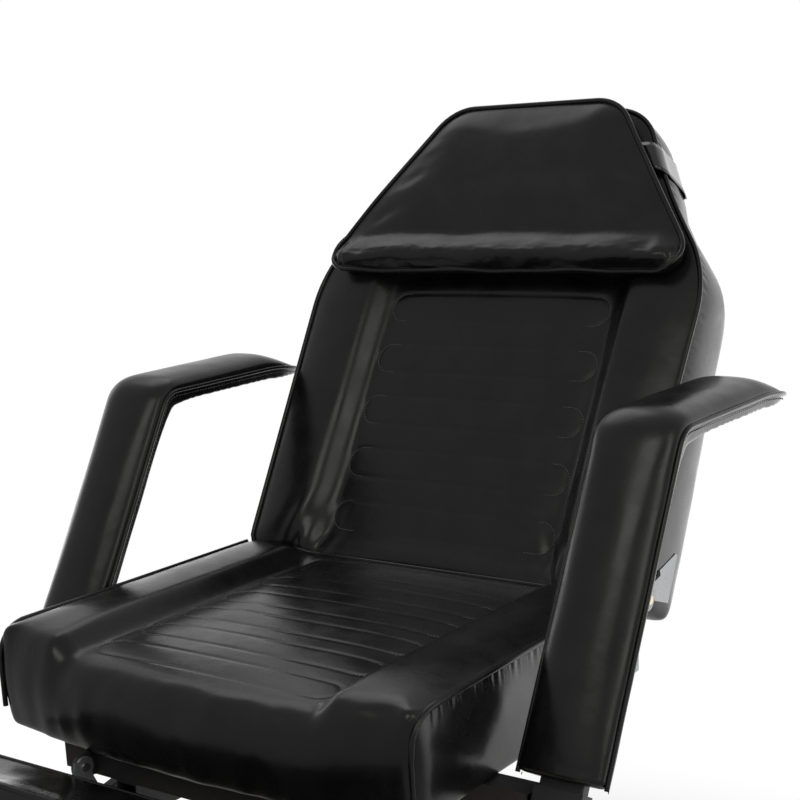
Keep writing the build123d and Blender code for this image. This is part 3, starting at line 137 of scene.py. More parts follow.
class ChairFinish(bpy.types.PropertyGroup):
    vinyl_dark: FloatVectorProperty(
        name="Vinyl dark", description="Darkest tone of the vinyl", subtype="COLOR",
        default=(0.0023, 0.0027, 0.0025)
    )
    vinyl_light: FloatVectorProperty(
        name="Vinyl light", description="Lightest tone of the vinyl", subtype="COLOR",
        default=(0.0046, 0.0052, 0.0048)
    )
    vinyl_roughness: FloatProperty(
        name="Vinyl roughness", description="Mean roughness of the vinyl", default=0.265, min=0.05, max=1.0
    )
    grain_size: FloatProperty(
        name="Grain size", description="Size of one grain of the vinyl", default=0.0015, min=0.0003,
        unit="LENGTH"
    )


class ChairStage(bpy.types.PropertyGroup):
    overhead_power: FloatProperty(
        name="Overhead power", description="Power of the soft box overhead", default=5.5, min=0.0,
        unit="POWER"
    )
    front_power: FloatProperty(
        name="Front power", description="Power of the soft box above the camera", default=5.4, min=0.0,
        unit="POWER"
    )
    side_power: FloatProperty(
        name="Side power", description="Power of each soft box beside the chair", default=5.4, min=0.0,
        unit="POWER"
    )
    fill_level: FloatProperty(
        name="Fill level", description="Level of the room's own light", default=0.60, min=0.0, max=2.0
    )


def padding():
    """Sizes of the padding that the user has set."""
    return bpy.context.scene.chair_padding


def finish_settings():
    """Tones and gloss that the user has set."""
    return bpy.context.scene.chair_finish


def smooth(low, high, value):
    """Smooth step from 0 at low to 1 at high."""
    share = np.clip((np.asarray(value, float) - low) / (high - low), 0.0, 1.0)
    return share * share * (3 - 2 * share)


def soft_noise(points, size, seed):
    """Smooth noise from -1 to 1 at each point, with features of the given size."""
    shift = Vector((seed * 7.3, seed * 3.1, seed * 5.7))
    return np.array([noise.noise(Vector(p) / size + shift) for p in points])


# Outlines
def rounded_outline(corners, radii, step=OUTLINE_STEP):
    """Closed outline through corners, each rounded to its radius, as points a step apart."""
    points = []
    count = len(corners)
    for index in range(count):
        corner = Vector(corners[index])
        before = (Vector(corners[index - 1]) - corner).normalized()
        after = (Vector(corners[(index + 1) % count]) - corner).normalized()
        radius = radii[index]
        half = before.angle(after) / 2
        reach = radius / np.tan(half)
        centre = corner + (before + after).normalized() * radius / sin(half)
        start = corner + before * reach - centre
        end = corner + after * reach - centre
        turn = start.angle_signed(end)
        steps = max(4, round(abs(turn) * radius / step))
        for k in range(steps + 1):
            swung = Matrix.Rotation(-turn * k / steps, 2) @ start
            points.append(tuple(centre + swung))
    return np.array(points)


def even(points, count):
    """Points at count + 1 even distances along an open line."""
    points = np.asarray(points, float)
    lengths = np.concatenate([[0], np.cumsum(np.linalg.norm(np.diff(points, axis=0), axis=1))])
    wanted = np.linspace(0, lengths[-1], count + 1)
    return np.stack([np.interp(wanted, lengths, points[:, k]) for k in range(points.shape[1])], axis=1)


def even_loop(points, count):
    """A number of points at even distances round a closed line."""
    return even(np.vstack([points, points[:1]]), count)[:-1]


def four_sides(outline, corners, cell):
    """Splits a closed outline at its four named corners: foot left, foot right, head right, head left."""
    marks = [int(np.argmin(np.linalg.norm(outline - np.array(c), axis=1))) for c in corners]
    count = len(outline)
    parts = []
    for start, end in zip(marks, marks[1:] + marks[:1]):
        span = (end - start) % count
        parts.append(outline[[(start + k) % count for k in range(span + 1)]])
    lengths = [np.linalg.norm(np.diff(part, axis=0), axis=1).sum() for part in parts]
    across = round(max(lengths[0], lengths[2]) / cell)
    up = round(max(lengths[1], lengths[3]) / cell)
    foot, right, head, left = (even(part, n) for part, n in zip(parts, (across, up, across, up)))
    return foot, right, head[::-1], left[::-1]


def patch(sides):
    """Grid of points that fills four sides (a Coons patch)."""
    foot, right, head, left = sides
    s = np.linspace(0, 1, len(foot))[:, None, None]
    t = np.linspace(0, 1, len(left))[None, :, None]
    ruled = (1 - t) * foot[:, None] + t * head[:, None] + (1 - s) * left[None] + s * right[None]
    corners = (1 - s) * (1 - t) * foot[0] + s * (1 - t) * foot[-1] + (1 - s) * t * head[0] + s * t * head[-1]
    return ruled - corners


def outline_distance(points, outline):
    """Distance of each point from a closed outline."""
    best = np.full(len(points), 1e9)
    following = np.roll(outline, -1, axis=0)
    for start, end in zip(outline, following):
        span = end - start
        share = np.clip(((points - start) @ span) / max(span @ span, 1e-12), 0, 1)
        best = np.minimum(best, np.linalg.norm(points - start - share[:, None] * span, axis=1))
    return best


def outward(loop):
    """Outward directions of a closed loop that runs counter-clockwise."""
    ahead = np.roll(loop, -1, axis=0) - np.roll(loop, 1, axis=0)
    normal = np.stack([ahead[:, 1], -ahead[:, 0]], axis=1)
    return normal / np.maximum(np.linalg.norm(normal, axis=1), 1e-9)[:, None]


# Meshes
def mesh_object(name, points, faces, body, slot):
    """New piece from points and faces, with smooth shading, riding on a body."""
    mesh = bpy.data.meshes.new(name)
    mesh.from_pydata([tuple(p) for p in points], [], faces)
    mesh.validate()
    mesh.polygons.foreach_set("use_smooth", [True] * len(mesh.polygons))
    piece = bpy.data.objects.new(name, mesh)
    bpy.context.scene.collection.objects.link(piece)
    dress(piece, slot)
    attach(piece, body)
    return piece


def positions(piece):
    """Places of a piece's vertices."""
    co = np.empty(len(piece.data.vertices) * 3)
    piece.data.vertices.foreach_get("co", co)
    return co.reshape(-1, 3)


def normals(piece):
    """Directions in which a piece's vertices face."""
    no = np.empty(len(piece.data.vertices) * 3)
    piece.data.vertex_normals.foreach_get("vector", no)
    return no.reshape(-1, 3)


def move_to(piece, points):
    """Moves a piece's vertices to new places."""
    piece.data.vertices.foreach_set("co", np.asarray(points, float).ravel())
    piece.data.update()


def applied(piece):
    """Replaces a piece's mesh by its evaluated one and removes its modifiers."""
    evaluated = piece.evaluated_get(bpy.context.evaluated_depsgraph_get())
    mesh = bpy.data.meshes.new_from_object(evaluated)
    piece.modifiers.clear()
    piece.vertex_groups.clear()
    piece.data = mesh


def refine(piece, levels):
    """Smooth subdivision, applied."""
    subdivision = piece.modifiers.new("Smooth", "SUBSURF")
    subdivision.levels = levels
    subdivision.render_levels = levels
    applied(piece)


def swell(piece, seams, limit_share=1.0):
    """Cloth simulation: foam pressure pushes the vinyl out between its seams, up to a limit."""
    settings = padding()
    rest = positions(piece)
    group = piece.vertex_groups.new(name="Seams")
    group.add([int(v) for v in seams], 1.0, "REPLACE")
    modifier = piece.modifiers.new("Swell", "CLOTH")
    cloth = modifier.settings
    cloth.quality = 4
    cloth.mass = 0.4
    cloth.tension_stiffness = 20
    cloth.compression_stiffness = 20
    cloth.shear_stiffness = 8
    cloth.bending_stiffness = 2
    cloth.use_pressure = True
    cloth.uniform_pressure_force = settings.swell_pressure
    cloth.vertex_group_mass = "Seams"
    cloth.effector_weights.gravity = 0
    modifier.collision_settings.use_collision = False
    modifier.collision_settings.use_self_collision = False
    modifier.point_cache.frame_start = 1
    modifier.point_cache.frame_end = settings.swell_frames
    scene = bpy.context.scene
    for step in range(1, settings.swell_frames + 1):
        scene.frame_set(step)
    evaluated = piece.evaluated_get(bpy.context.evaluated_depsgraph_get())
    swollen = np.array([v.co for v in evaluated.data.vertices])
    piece.modifiers.clear()
    piece.vertex_groups.clear()
    scene.frame_set(1)
    moved = swollen - rest
    reach = np.linalg.norm(moved, axis=1)
    limit = settings.swell_limit * limit_share
    allowed = limit * np.tanh(reach / limit)
    move_to(piece, rest + moved * (allowed / np.maximum(reach, 1e-9))[:, None])


def ring_faces(count, around, closed):
    """Quads that join each ring of points to the next, with end caps where the rings don't close."""
    faces = []
    for place in range(count if closed else count - 1):
        low, high = place * around, (place + 1) % count * around
        for j in range(around):
            following = (j + 1) % around
            faces.append((low + j, low + following, high + following, high + j))
    if not closed:
        faces.append(tuple(range(around))[::-1])
        faces.append(tuple((count - 1) * around + j for j in range(around)))
    return faces


def cord(path, radius, closed, sides=10):
    """Points and faces of a round cord along a path, closed on itself or capped at its ends."""
    path = np.asarray(path, float)
    count = len(path)
    ahead = np.roll(path, -1, axis=0) - np.roll(path, 1, axis=0) if closed else np.gradient(path, axis=0)
    ahead /= np.maximum(np.linalg.norm(ahead, axis=1), 1e-12)[:, None]
    side = np.cross(ahead[0], (0.3, 0.5, 0.81))
    side /= np.linalg.norm(side)
    rings = []
    for way in ahead:
        side = side - way * (side @ way)
        side /= np.linalg.norm(side)
        rings.append((side, np.cross(way, side)))
    twist = 0.0
    if closed:
        first, last = rings[0], rings[-1]
        carried = last[0] - ahead[0] * (last[0] @ ahead[0])
        twist = np.arctan2(carried @ first[1], carried @ first[0])
    points = []
    for k, (a, b) in enumerate(rings):
        for j in range(sides):
            angle = 2 * pi * j / sides - twist * k / count
            points.append(path[k] + radius * (cos(angle) * a + sin(angle) * b))
    return points, ring_faces(count, sides, closed)


def piping(name, paths, radius, body):
    """Vinyl cords along seams, as one piece; each path says whether it closes on itself."""
    points, faces = [], []
    for path, closed in paths:
        first = len(points)
        added, quads = cord(path, radius, closed)
        points.extend(added)
        faces.extend(tuple(v + first for v in face) for face in quads)
    return mesh_object(name, points, faces, body, "black_vinyl")


# Cushions
def border(wide, tall):
    """Indices round the edge of a wide by tall grid of points, counter-clockwise from the first."""
    order = [i * tall for i in range(wide - 1)]
    order += [(wide - 1) * tall + j for j in range(tall - 1)]
    order += [i * tall + tall - 1 for i in range(wide - 1, 0, -1)]
    order += list(range(tall - 1, 0, -1))
    return order


class Cushion:
    """Closed padded shape: a face patch, rounded rims, boxed sides and a flat rear."""

    RIM_STEPS = 4
    BULGE_POWER = 0.8
    WALL_TUCK, EDGE_TUCK, REAR_TUCK, FOLD_TUCK = 0.002, 0.010, 0.030, 0.031
    LIP_STEP = 0.001

    def __init__(self, name, axes, outline, corners, body, top, rear, roll, bulge, wall_rings=6, cell=CELL,
                 fold=0.0, lip=None, draw=None):
        foot, right, head, left = four_sides(outline, corners, cell)
        across, up = len(foot) - 1, len(right) - 1
        loop = np.concatenate([foot[:-1], right[:-1], head[:0:-1], left[:0:-1]])
        away, rolls, base = outward(loop), roll(loop), rear(loop)
        lips = lip(loop) if lip else np.zeros(len(loop))
        drawn = draw(loop) if draw else np.zeros(len(loop))

        # The face, inside the rounded rim
        inner = loop - away * rolls[:, None]
        grid = patch((
            inner[: across + 1],
            inner[across: across + up + 1],
            inner[across + up: 2 * across + up + 1][::-1],
            np.concatenate([inner[2 * across + up:], inner[:1]])[::-1],
        ))
        wide, tall = grid.shape[:2]
        flat = grid.reshape(-1, 2)
        face = np.column_stack([flat, top(flat, outline_distance(flat, outline))])
        seam = border(wide, tall)
        rim = face[seam, 2]

        # Rings round the rim, down the wall, and in under the rear
        rings = []
        for k in range(1, self.RIM_STEPS + 1):
            turn = pi / 2 * k / self.RIM_STEPS
            rings.append(np.column_stack([
                inner + away * (rolls * sin(turn))[:, None], rim - rolls * (1 - cos(turn)),
            ]))
        start, edge = rings[-1][:, 2], base - lips
        for k in range(1, wall_rings + 1):
            share = k / wall_rings
            out = bulge(loop) * sin(pi * share) ** self.BULGE_POWER - (self.WALL_TUCK + drawn) * share
            rings.append(np.column_stack([loop + away * out[:, None], start + (edge - start) * share]))
        rear_face = np.where(lips > 0, base + self.LIP_STEP, base)
        rings.append(np.column_stack([loop - away * (self.EDGE_TUCK + drawn)[:, None], edge]))
        rings.append(np.column_stack([loop - away * (self.REAR_TUCK + drawn)[:, None], rear_face]))
        if fold:
            rings.append(np.column_stack([loop - away * self.FOLD_TUCK, base + fold]))

        faces = [
            (i * tall + j, (i + 1) * tall + j, (i + 1) * tall + j + 1, i * tall + j + 1)
            for i in range(wide - 1) for j in range(tall - 1)
        ]
        count, below = len(seam), seam
        for number in range(len(rings)):
            first = wide * tall + number * count
            ring = list(range(first, first + count))
            for a in range(count):
                b = (a + 1) % count
                faces.append((below[a], ring[a], ring[b], below[b]))
            below = ring
        faces.append(tuple(reversed(below)))

        self.axes, self.away, self.seam = axes, away, seam
        self.patch_count = wide * tall
        self.rear_first = self.patch_count + count * (self.RIM_STEPS + wall_rings - 1)
        self.local = np.concatenate([face, *rings])
        self.rim = np.column_stack([loop, rim])
        self.base = np.column_stack([loop - away * self.WALL_TUCK, base])
        self.piece = mesh_object(name, axes.place(self.local), faces, body, "black_vinyl")

    def beside(self, edge, out, rise):
        """World places beside an edge of the cushion, moved out from its flank and up its face."""
        moved = np.column_stack([self.away * np.reshape(out, (-1, 1)), np.full(len(self.away), rise)])
        return self.axes.place(edge + moved)

    def pinned(self, extra=None):
        """Indices of the vertices that seams and the board hold."""
        held = set(self.seam) | set(range(self.rear_first, len(self.local)))
        if extra is not None:
            chosen = np.nonzero(extra(self.local[: self.patch_count]))[0]
            held |= set(int(v) for v in chosen)
        return held


def without_rear(piece):
    """Takes away the widest face of a piece, which is the flat one at its rear."""
    shape = bmesh.new()
    shape.from_mesh(piece.data)
    widest = max(shape.faces, key=lambda face: len(face.verts))
    bmesh.ops.delete(shape, geom=[widest], context="FACES_ONLY")
    shape.to_mesh(piece.data)
    shape.free()


def with_rear(piece):
    """Closes the one open border of a piece with a flat face."""
    shape = bmesh.new()
    shape.from_mesh(piece.data)
    open_edges = [edge for edge in shape.edges if edge.is_boundary]
    bmesh.ops.holes_fill(shape, edges=open_edges)
    bmesh.ops.recalc_face_normals(shape, faces=shape.faces)
    shape.to_mesh(piece.data)
    shape.free()


def fold_in(cushion, shape, levels=2):
    """Refines a cushion's mesh, then moves its surface by a shape given in the cushion's own axes."""
    without_rear(cushion.piece)
    refine(cushion.piece, levels)
    with_rear(cushion.piece)
    points, ways = positions(cushion.piece), normals(cushion.piece)
    local = cushion.axes.local(points)
    facing = ways @ cushion.axes.axes.T
    move_to(cushion.piece, points + ways * shape(local, facing)[:, None])


def ring_lines(rows):
    """Centre lines of the stitched long rings, as closed loops of (x, v)."""
    straight, radius = (RING_LENGTH - RING_HEIGHT) / 2, RING_HEIGHT / 2
    arc = np.linspace(0, pi, RING_ARC_POINTS)
    loops = []
    for row in rows:
        right = [(straight + radius * sin(a), row - radius * cos(a)) for a in arc]
        left = [(-straight - radius * sin(a), row + radius * cos(a)) for a in arc]
        loops.append(np.array(right + left))
    return loops


def ring_distance(local, rows):
    """Signed distance from the nearest long ring's line, negative inside a ring."""
    straight, radius = (RING_LENGTH - RING_HEIGHT) / 2, RING_HEIGHT / 2
    best = np.full(len(local), 1.0)
    for row in rows:
        dx = np.maximum(np.abs(local[:, 0]) - straight, 0)
        away = np.hypot(dx, local[:, 1] - row) - radius
        best = np.where(np.abs(away) < np.abs(best), away, best)
    return best


def sewn_rings(local, facing, rows):
    """Depth of the pressed ring lines and the slight fullness inside each ring."""
    away = ring_distance(local, rows)
    ahead = smooth(0.5, 0.8, facing[:, 2])
    groove = -GROOVE_DEPTH * np.exp(-((away / GROOVE_WIDTH) ** 2))
    full = RING_FULLNESS * smooth(0.0, 0.016, -away)
    return (groove + full) * ahead


def sink_slope(points):
    """Which points lie on the slopes between a sunk middle and its bolsters."""
    return np.abs(np.abs(points[:, 0]) - SLOPE_X) < SLOPE_HALF


GATHER_DROP, GATHER_REACH = 0.006, 0.008


def puckers(local, facing, seam_gap, rate, height):
    """Fine gathers in the boxed side beside a seam: seam_gap is the distance below the seam."""
    side = 1 - smooth(0.25, 0.6, np.abs(facing[:, 2]))
    near = np.exp(-((seam_gap - GATHER_DROP) / GATHER_REACH) ** 2) * side
    along = local[:, 0] + local[:, 1]
    wave = np.sin(along * rate + 2.2 * np.sin(along * rate * 0.23) + seam_gap * 90)
    return height * near * wave


# Stitches
STITCH_SHARE = 0.72
RAY_START = 0.08


def stitch_tree():
    """Node tree that lays thread stitches along a line and gives them their material."""
    tree = bpy.data.node_groups.get("Stitch row")
    if tree is not None:
        return tree
    tree = bpy.data.node_groups.new("Stitch row", "GeometryNodeTree")
    face = tree.interface
    face.new_socket("Line", in_out="INPUT", socket_type="NodeSocketGeometry")
    for label, value in (("Pitch", 0.0042), ("Length", 0.0030), ("Radius", 0.00045)):
        socket = face.new_socket(label, in_out="INPUT", socket_type="NodeSocketFloat")
        socket.default_value = value
    face.new_socket("Thread", in_out="INPUT", socket_type="NodeSocketMaterial")
    face.new_socket("Stitches", in_out="OUTPUT", socket_type="NodeSocketGeometry")
    nodes, links = tree.nodes, tree.links
    source, target = nodes.new("NodeGroupInput"), nodes.new("NodeGroupOutput")
    to_curve = nodes.new("GeometryNodeMeshToCurve")
    resample = nodes.new("GeometryNodeResampleCurve")
    resample.mode = "LENGTH"
    to_points = nodes.new("GeometryNodeCurveToPoints")
    to_points.mode = "EVALUATED"
    ball = nodes.new("GeometryNodeMeshUVSphere")
    ball.inputs["Segments"].default_value = 6
    ball.inputs["Rings"].default_value = 4
    ball.inputs["Radius"].default_value = 1.0
    size = nodes.new("ShaderNodeCombineXYZ")
    half = nodes.new("ShaderNodeMath")
    half.operation = "MULTIPLY"
    half.inputs[1].default_value = 0.5
    instance = nodes.new("GeometryNodeInstanceOnPoints")
    realize = nodes.new("GeometryNodeRealizeInstances")
    paint = nodes.new("GeometryNodeSetMaterial")
    shade = nodes.new("GeometryNodeSetShadeSmooth")
    links.new(source.outputs["Line"], to_curve.inputs[0])
    links.new(to_curve.outputs[0], resample.inputs["Curve"])
    links.new(source.outputs["Pitch"], resample.inputs["Length"])
    links.new(resample.outputs[0], to_points.inputs[0])
    links.new(to_points.outputs["Points"], instance.inputs["Points"])
    links.new(to_points.outputs["Rotation"], instance.inputs["Rotation"])
    links.new(source.outputs["Length"], half.inputs[0])
    links.new(source.outputs["Radius"], size.inputs["X"])
    links.new(source.outputs["Radius"], size.inputs["Y"])
    links.new(half.outputs[0], size.inputs["Z"])
    links.new(ball.outputs["Mesh"], instance.inputs["Instance"])
    links.new(size.outputs[0], instance.inputs["Scale"])
    links.new(instance.outputs[0], realize.inputs[0])
    links.new(realize.outputs[0], shade.inputs[0])
    links.new(shade.outputs[0], paint.inputs["Geometry"])
    links.new(source.outputs["Thread"], paint.inputs["Material"])
    links.new(paint.outputs[0], target.inputs[0])
    return tree


def stitches(name, lines, body, pitch=None):
    """Thread stitches along lines of points; each line says whether it closes on itself."""
    points, edges = [], []
    for line, closed in lines:
        first = len(points)
        points.extend(tuple(p) for p in line)
        edges.extend((first + k, first + k + 1) for k in range(len(line) - 1))
        if closed:
            edges.append((len(points) - 1, first))
    mesh = bpy.data.meshes.new(name)
    mesh.from_pydata(points, edges, [])
    piece = bpy.data.objects.new(name, mesh)
    bpy.context.scene.collection.objects.link(piece)
    modifier = piece.modifiers.new("Stitches", "NODES")
    modifier.node_group = stitch_tree()
    settings = padding()
    wanted = {
        "Pitch": pitch or settings.stitch_pitch,
        "Length": STITCH_SHARE * (pitch or settings.stitch_pitch),
        "Radius": settings.stitch_radius,
        "Thread": material("black_thread"),
    }
    for item in modifier.node_group.interface.items_tree:
        if item.in_out == "INPUT" and item.name in wanted:
            modifier[item.identifier] = wanted[item.name]
    applied(piece)
    if not piece.data.polygons:
        raise RuntimeError(f"{name} has no stitches")
    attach(piece, body)
    return piece


def lifted(piece, lines, axes, gap):
    """Lays (x, v) lines on a piece's face, a gap above it, found by casting rays back at it."""
    shape = bmesh.new()
    shape.from_mesh(piece.data)
    surface = BVHTree.FromBMesh(shape)
    shape.free()
    out = Vector(axes.axes[2])
    laid = []
    for line in lines:
        spots = []
        for x, v in line:
            start = Vector(axes.place([(x, v, RAY_START)])[0])
            hit = surface.ray_cast(start, -out)[0]
            spots.append((hit if hit is not None else start - out * RAY_START) + out * gap)
        laid.append(np.array(spots))
    return laid


# Materials
def shader(name):
    """New node material: its nodes, links and surface shader."""
    made = bpy.data.materials.new(name)
    made.use_nodes = True
    nodes, links = made.node_tree.nodes, made.node_tree.links
    return made, nodes, links, nodes["Principled BSDF"]


def textured(nodes, links, kind, scale, stretch=(1, 1, 1), **values):
    """Texture node on Object coordinates, stretched along the axes."""
    place = nodes.new("ShaderNodeTexCoord")
    mapping = nodes.new("ShaderNodeMapping")
    mapping.inputs["Scale"].default_value = stretch
    texture = nodes.new(kind)
    texture.inputs["Scale"].default_value = scale
    for socket, value in values.items():
        texture.inputs[socket.replace("_", " ")].default_value = value
    links.new(place.outputs["Object"], mapping.inputs["Vector"])
    links.new(mapping.outputs[0], texture.inputs["Vector"])
    return texture


def ramp(nodes, links, source, low, high, first, second):
    """Colour ramp from one colour at low to another at high."""
    node = nodes.new("ShaderNodeValToRGB")
    for element, place, colour in zip(node.color_ramp.elements, (low, high), (first, second)):
        element.position = place
        element.color = (*colour, 1.0) if hasattr(colour, "__len__") else (colour, colour, colour, 1.0)
    links.new(source, node.inputs["Fac"])
    return node.outputs["Color"]


def feed(links, socket, value):
    """Links a node's socket to another one, or gives it a number."""
    if isinstance(value, bpy.types.NodeSocket):
        links.new(value, socket)
    else:
        socket.default_value = value


def math_node(nodes, links, operation, first, second):
    """Sum, product or the like of two levels, each a socket or a number."""
    node = nodes.new("ShaderNodeMath")
    node.operation = operation
    feed(links, node.inputs[0], first)
    feed(links, node.inputs[1], second)
    return node.outputs[0]


def mixed(nodes, links, share, low, high):
    """Level between low and high by a share."""
    node = nodes.new("ShaderNodeMix")
    for place, value in ((0, share), (2, low), (3, high)):
        feed(links, node.inputs[place], value)
    return node.outputs[0]


def map_range(nodes, links, value, source, target, kind="LINEAR"):
    """Level carried from one span to another; each end is a socket or a number."""
    node = nodes.new("ShaderNodeMapRange")
    node.interpolation_type = kind
    for label, end in zip(("Value", "From Min", "From Max", "To Min", "To Max"), (value, *source, *target)):
        feed(links, node.inputs[label], end)
    return node.outputs[0]


def bumped(nodes, links, heights, surface):
    """Chain of bumps: each is a height socket with its strength and distance."""
    normal = None
    for height, strength, distance in heights:
        bump = nodes.new("ShaderNodeBump")
        bump.inputs["Strength"].default_value = strength
        bump.inputs["Distance"].default_value = distance
        links.new(height, bump.inputs["Height"])
        if normal is not None:
            links.new(normal, bump.inputs["Normal"])
        normal = bump.outputs["Normal"]
    links.new(normal, surface.inputs["Normal"])


def vinyl_material(name):
    """Black vinyl: pebbled grain, slight mottling and an uneven satin gloss."""
    look = finish_settings()
    made, nodes, links, surface = shader(name)
    mottle = textured(nodes, links, "ShaderNodeTexNoise", 22.0, Detail=3.0, Roughness=0.55)
    grain = textured(nodes, links, "ShaderNodeTexVoronoi", 1 / look.grain_size)
    grain.feature = "SMOOTH_F1"
    fine = textured(nodes, links, "ShaderNodeTexNoise", 2600.0, Detail=2.0)
    slack = textured(nodes, links, "ShaderNodeTexNoise", 30.0, Detail=2.0)
    low, high = look.vinyl_roughness - 0.035, look.vinyl_roughness + 0.045
    links.new(
        ramp(nodes, links, mottle.outputs[0], 0.3, 0.7, look.vinyl_dark, look.vinyl_light),
        surface.inputs["Base Color"],
    )
    links.new(ramp(nodes, links, mottle.outputs[0], 0.35, 0.65, low, high), surface.inputs["Roughness"])
    surface.inputs["Specular IOR Level"].default_value = 0.5
    surface.inputs["Specular Tint"].default_value = (0.965, 1.0, 0.955, 1.0)
    bumped(nodes, links, [
        (slack.outputs[0], 0.35, 0.0012),
        (grain.outputs[0], 0.26, 0.00013),
        (fine.outputs[0], 0.12, 0.00005),
    ], surface)
    return made


def thread_material(name):
    """Sewing thread of the black slot with its twist, toned dark grey: part its own dark colour, part painted
    sheen that makes the stitch lines read light.
    """
    made, nodes, links, surface = shader(name)
    twist = textured(nodes, links, "ShaderNodeTexWave", 900.0, Distortion=2.0)
    # Painted sheen: the thread's grey, far lighter than the vinyl, partly stands in for the sheen along the
    # stitch lines
    links.new(ramp(nodes, links, twist.outputs[0], 0.2, 0.8, 0.07, 0.13), surface.inputs["Base Color"])
    surface.inputs["Roughness"].default_value = 0.5
    bumped(nodes, links, [(twist.outputs[0], 0.4, 0.0001)], surface)
    return made


def webbing_material(name):
    """Black coated strap: a faint weave under a gloss like the vinyl's."""
    made, nodes, links, surface = shader(name)
    across = textured(nodes, links, "ShaderNodeTexWave", 260.0)
    across.bands_direction = "X"
    up = textured(nodes, links, "ShaderNodeTexWave", 420.0, (0, 1, 1))
    up.bands_direction = "Z"
    weave = math_node(nodes, links, "MULTIPLY", across.outputs["Fac"], up.outputs["Fac"])
    links.new(ramp(nodes, links, weave, 0.0, 0.8, 0.003, 0.008), surface.inputs["Base Color"])
    surface.inputs["Roughness"].default_value = 0.22
    surface.inputs["Coat Weight"].default_value = 1.0
    surface.inputs["Coat Roughness"].default_value = 0.12
    bumped(nodes, links, [(weave, 0.12, 0.0001)], surface)
    return made


def metal_material(name, dark, light, gloss, metallic, stretch=(1, 1, 1), scale=60.0, bump=0.00003):
    """Metal or paint with an uneven tone and gloss, drawn out along a direction where it is brushed."""
    made, nodes, links, surface = shader(name)
    tone = textured(nodes, links, "ShaderNodeTexNoise", scale, stretch, Detail=4.0, Roughness=0.6)
    cloud = textured(nodes, links, "ShaderNodeTexNoise", 9.0, Detail=2.0)
    links.new(ramp(nodes, links, tone.outputs[0], 0.3, 0.7, dark, light), surface.inputs["Base Color"])
    links.new(ramp(nodes, links, cloud.outputs[0], 0.3, 0.7, *gloss), surface.inputs["Roughness"])
    surface.inputs["Metallic"].default_value = metallic
    bumped(nodes, links, [(tone.outputs[0], 0.5, bump)], surface)
    return made


def rubber_material(name, tone, rough, scale, depth):
    """Moulded rubber or plastic with a fine spark texture."""
    made, nodes, links, surface = shader(name)
    spark = textured(nodes, links, "ShaderNodeTexNoise", scale, Detail=3.0)
    wear = textured(nodes, links, "ShaderNodeTexNoise", 25.0, Detail=3.0)
    links.new(ramp(nodes, links, wear.outputs[0], 0.35, 0.75, tone, tone * 1.8), surface.inputs["Base Color"])
    gloss = ramp(nodes, links, wear.outputs[0], 0.3, 0.7, rough - 0.08, rough + 0.08)
    links.new(gloss, surface.inputs["Roughness"])
    bumped(nodes, links, [(spark.outputs[0], 0.6, depth)], surface)
    return made


def plywood_material(name):
    """Birch plywood: long grain lines and pores."""
    made, nodes, links, surface = shader(name)
    grain = textured(nodes, links, "ShaderNodeTexNoise", 14.0, (12, 1, 12), Detail=6.0, Roughness=0.65)
    pores = textured(nodes, links, "ShaderNodeTexNoise", 260.0, (6, 0.5, 6), Detail=2.0)
    colour = ramp(nodes, links, grain.outputs[0], 0.3, 0.72, (0.42, 0.28, 0.16), (0.63, 0.47, 0.3))
    links.new(colour, surface.inputs["Base Color"])
    links.new(ramp(nodes, links, pores.outputs[0], 0.3, 0.7, 0.55, 0.72), surface.inputs["Roughness"])
    bumped(nodes, links, [(grain.outputs[0], 0.3, 0.0002), (pores.outputs[0], 0.4, 0.0001)], surface)
    return made


METALS = {
    "silver_steel": {
        "dark": (0.29, 0.295, 0.30), "light": (0.36, 0.365, 0.37), "gloss": (0.36, 0.48), "metallic": 0.85,
        "stretch": (1, 40, 40), "scale": 7.0,
    },
    "black_steel": {
        "dark": (0.014, 0.014, 0.015), "light": (0.024, 0.024, 0.025), "gloss": (0.36, 0.5), "metallic": 0.0,
        "scale": 900.0, "bump": 0.00012,
    },
    "chrome": {
        "dark": (0.78, 0.79, 0.8), "light": (0.84, 0.845, 0.85), "gloss": (0.05, 0.13), "metallic": 1.0,
        "scale": 40.0, "bump": 0.00001,
    },
    "bright_steel": {
        "dark": (0.5, 0.5, 0.51), "light": (0.62, 0.62, 0.63), "gloss": (0.2, 0.32), "metallic": 1.0,
        "stretch": (30, 30, 1), "scale": 12.0,
    },
    "cast_iron": {
        "dark": (0.05, 0.05, 0.055), "light": (0.09, 0.09, 0.095), "gloss": (0.55, 0.72), "metallic": 0.3,
        "scale": 420.0, "bump": 0.0004,
    },
    "brass": {
        "dark": (0.54, 0.43, 0.28), "light": (0.66, 0.55, 0.37), "gloss": (0.22, 0.36), "metallic": 1.0,
        "scale": 300.0,
    },
}
RUBBERS = {
    "black_rubber": {"tone": 0.018, "rough": 0.68, "scale": 1400.0, "depth": 0.00015},
    "black_plastic": {"tone": 0.02, "rough": 0.46, "scale": 1800.0, "depth": 0.0001},
}
PATTERNS = {
    "black_vinyl": vinyl_material,
    "black_thread": thread_material,
    "black_webbing": webbing_material,
    "plywood": plywood_material,
}


def material(name):
    """The named finish, made once."""
    finish = name + "_finish"
    found = bpy.data.materials.get(finish)
    if found is not None:
        return found
    if name in METALS:
        return metal_material(finish, **METALS[name])
    if name in RUBBERS:
        return rubber_material(finish, **RUBBERS[name])
    return PATTERNS[name](finish)


def dress(piece, slot):
    """Gives a piece the finish of a material slot."""
    piece.data.materials.clear()
    piece.data.materials.append(material(slot))


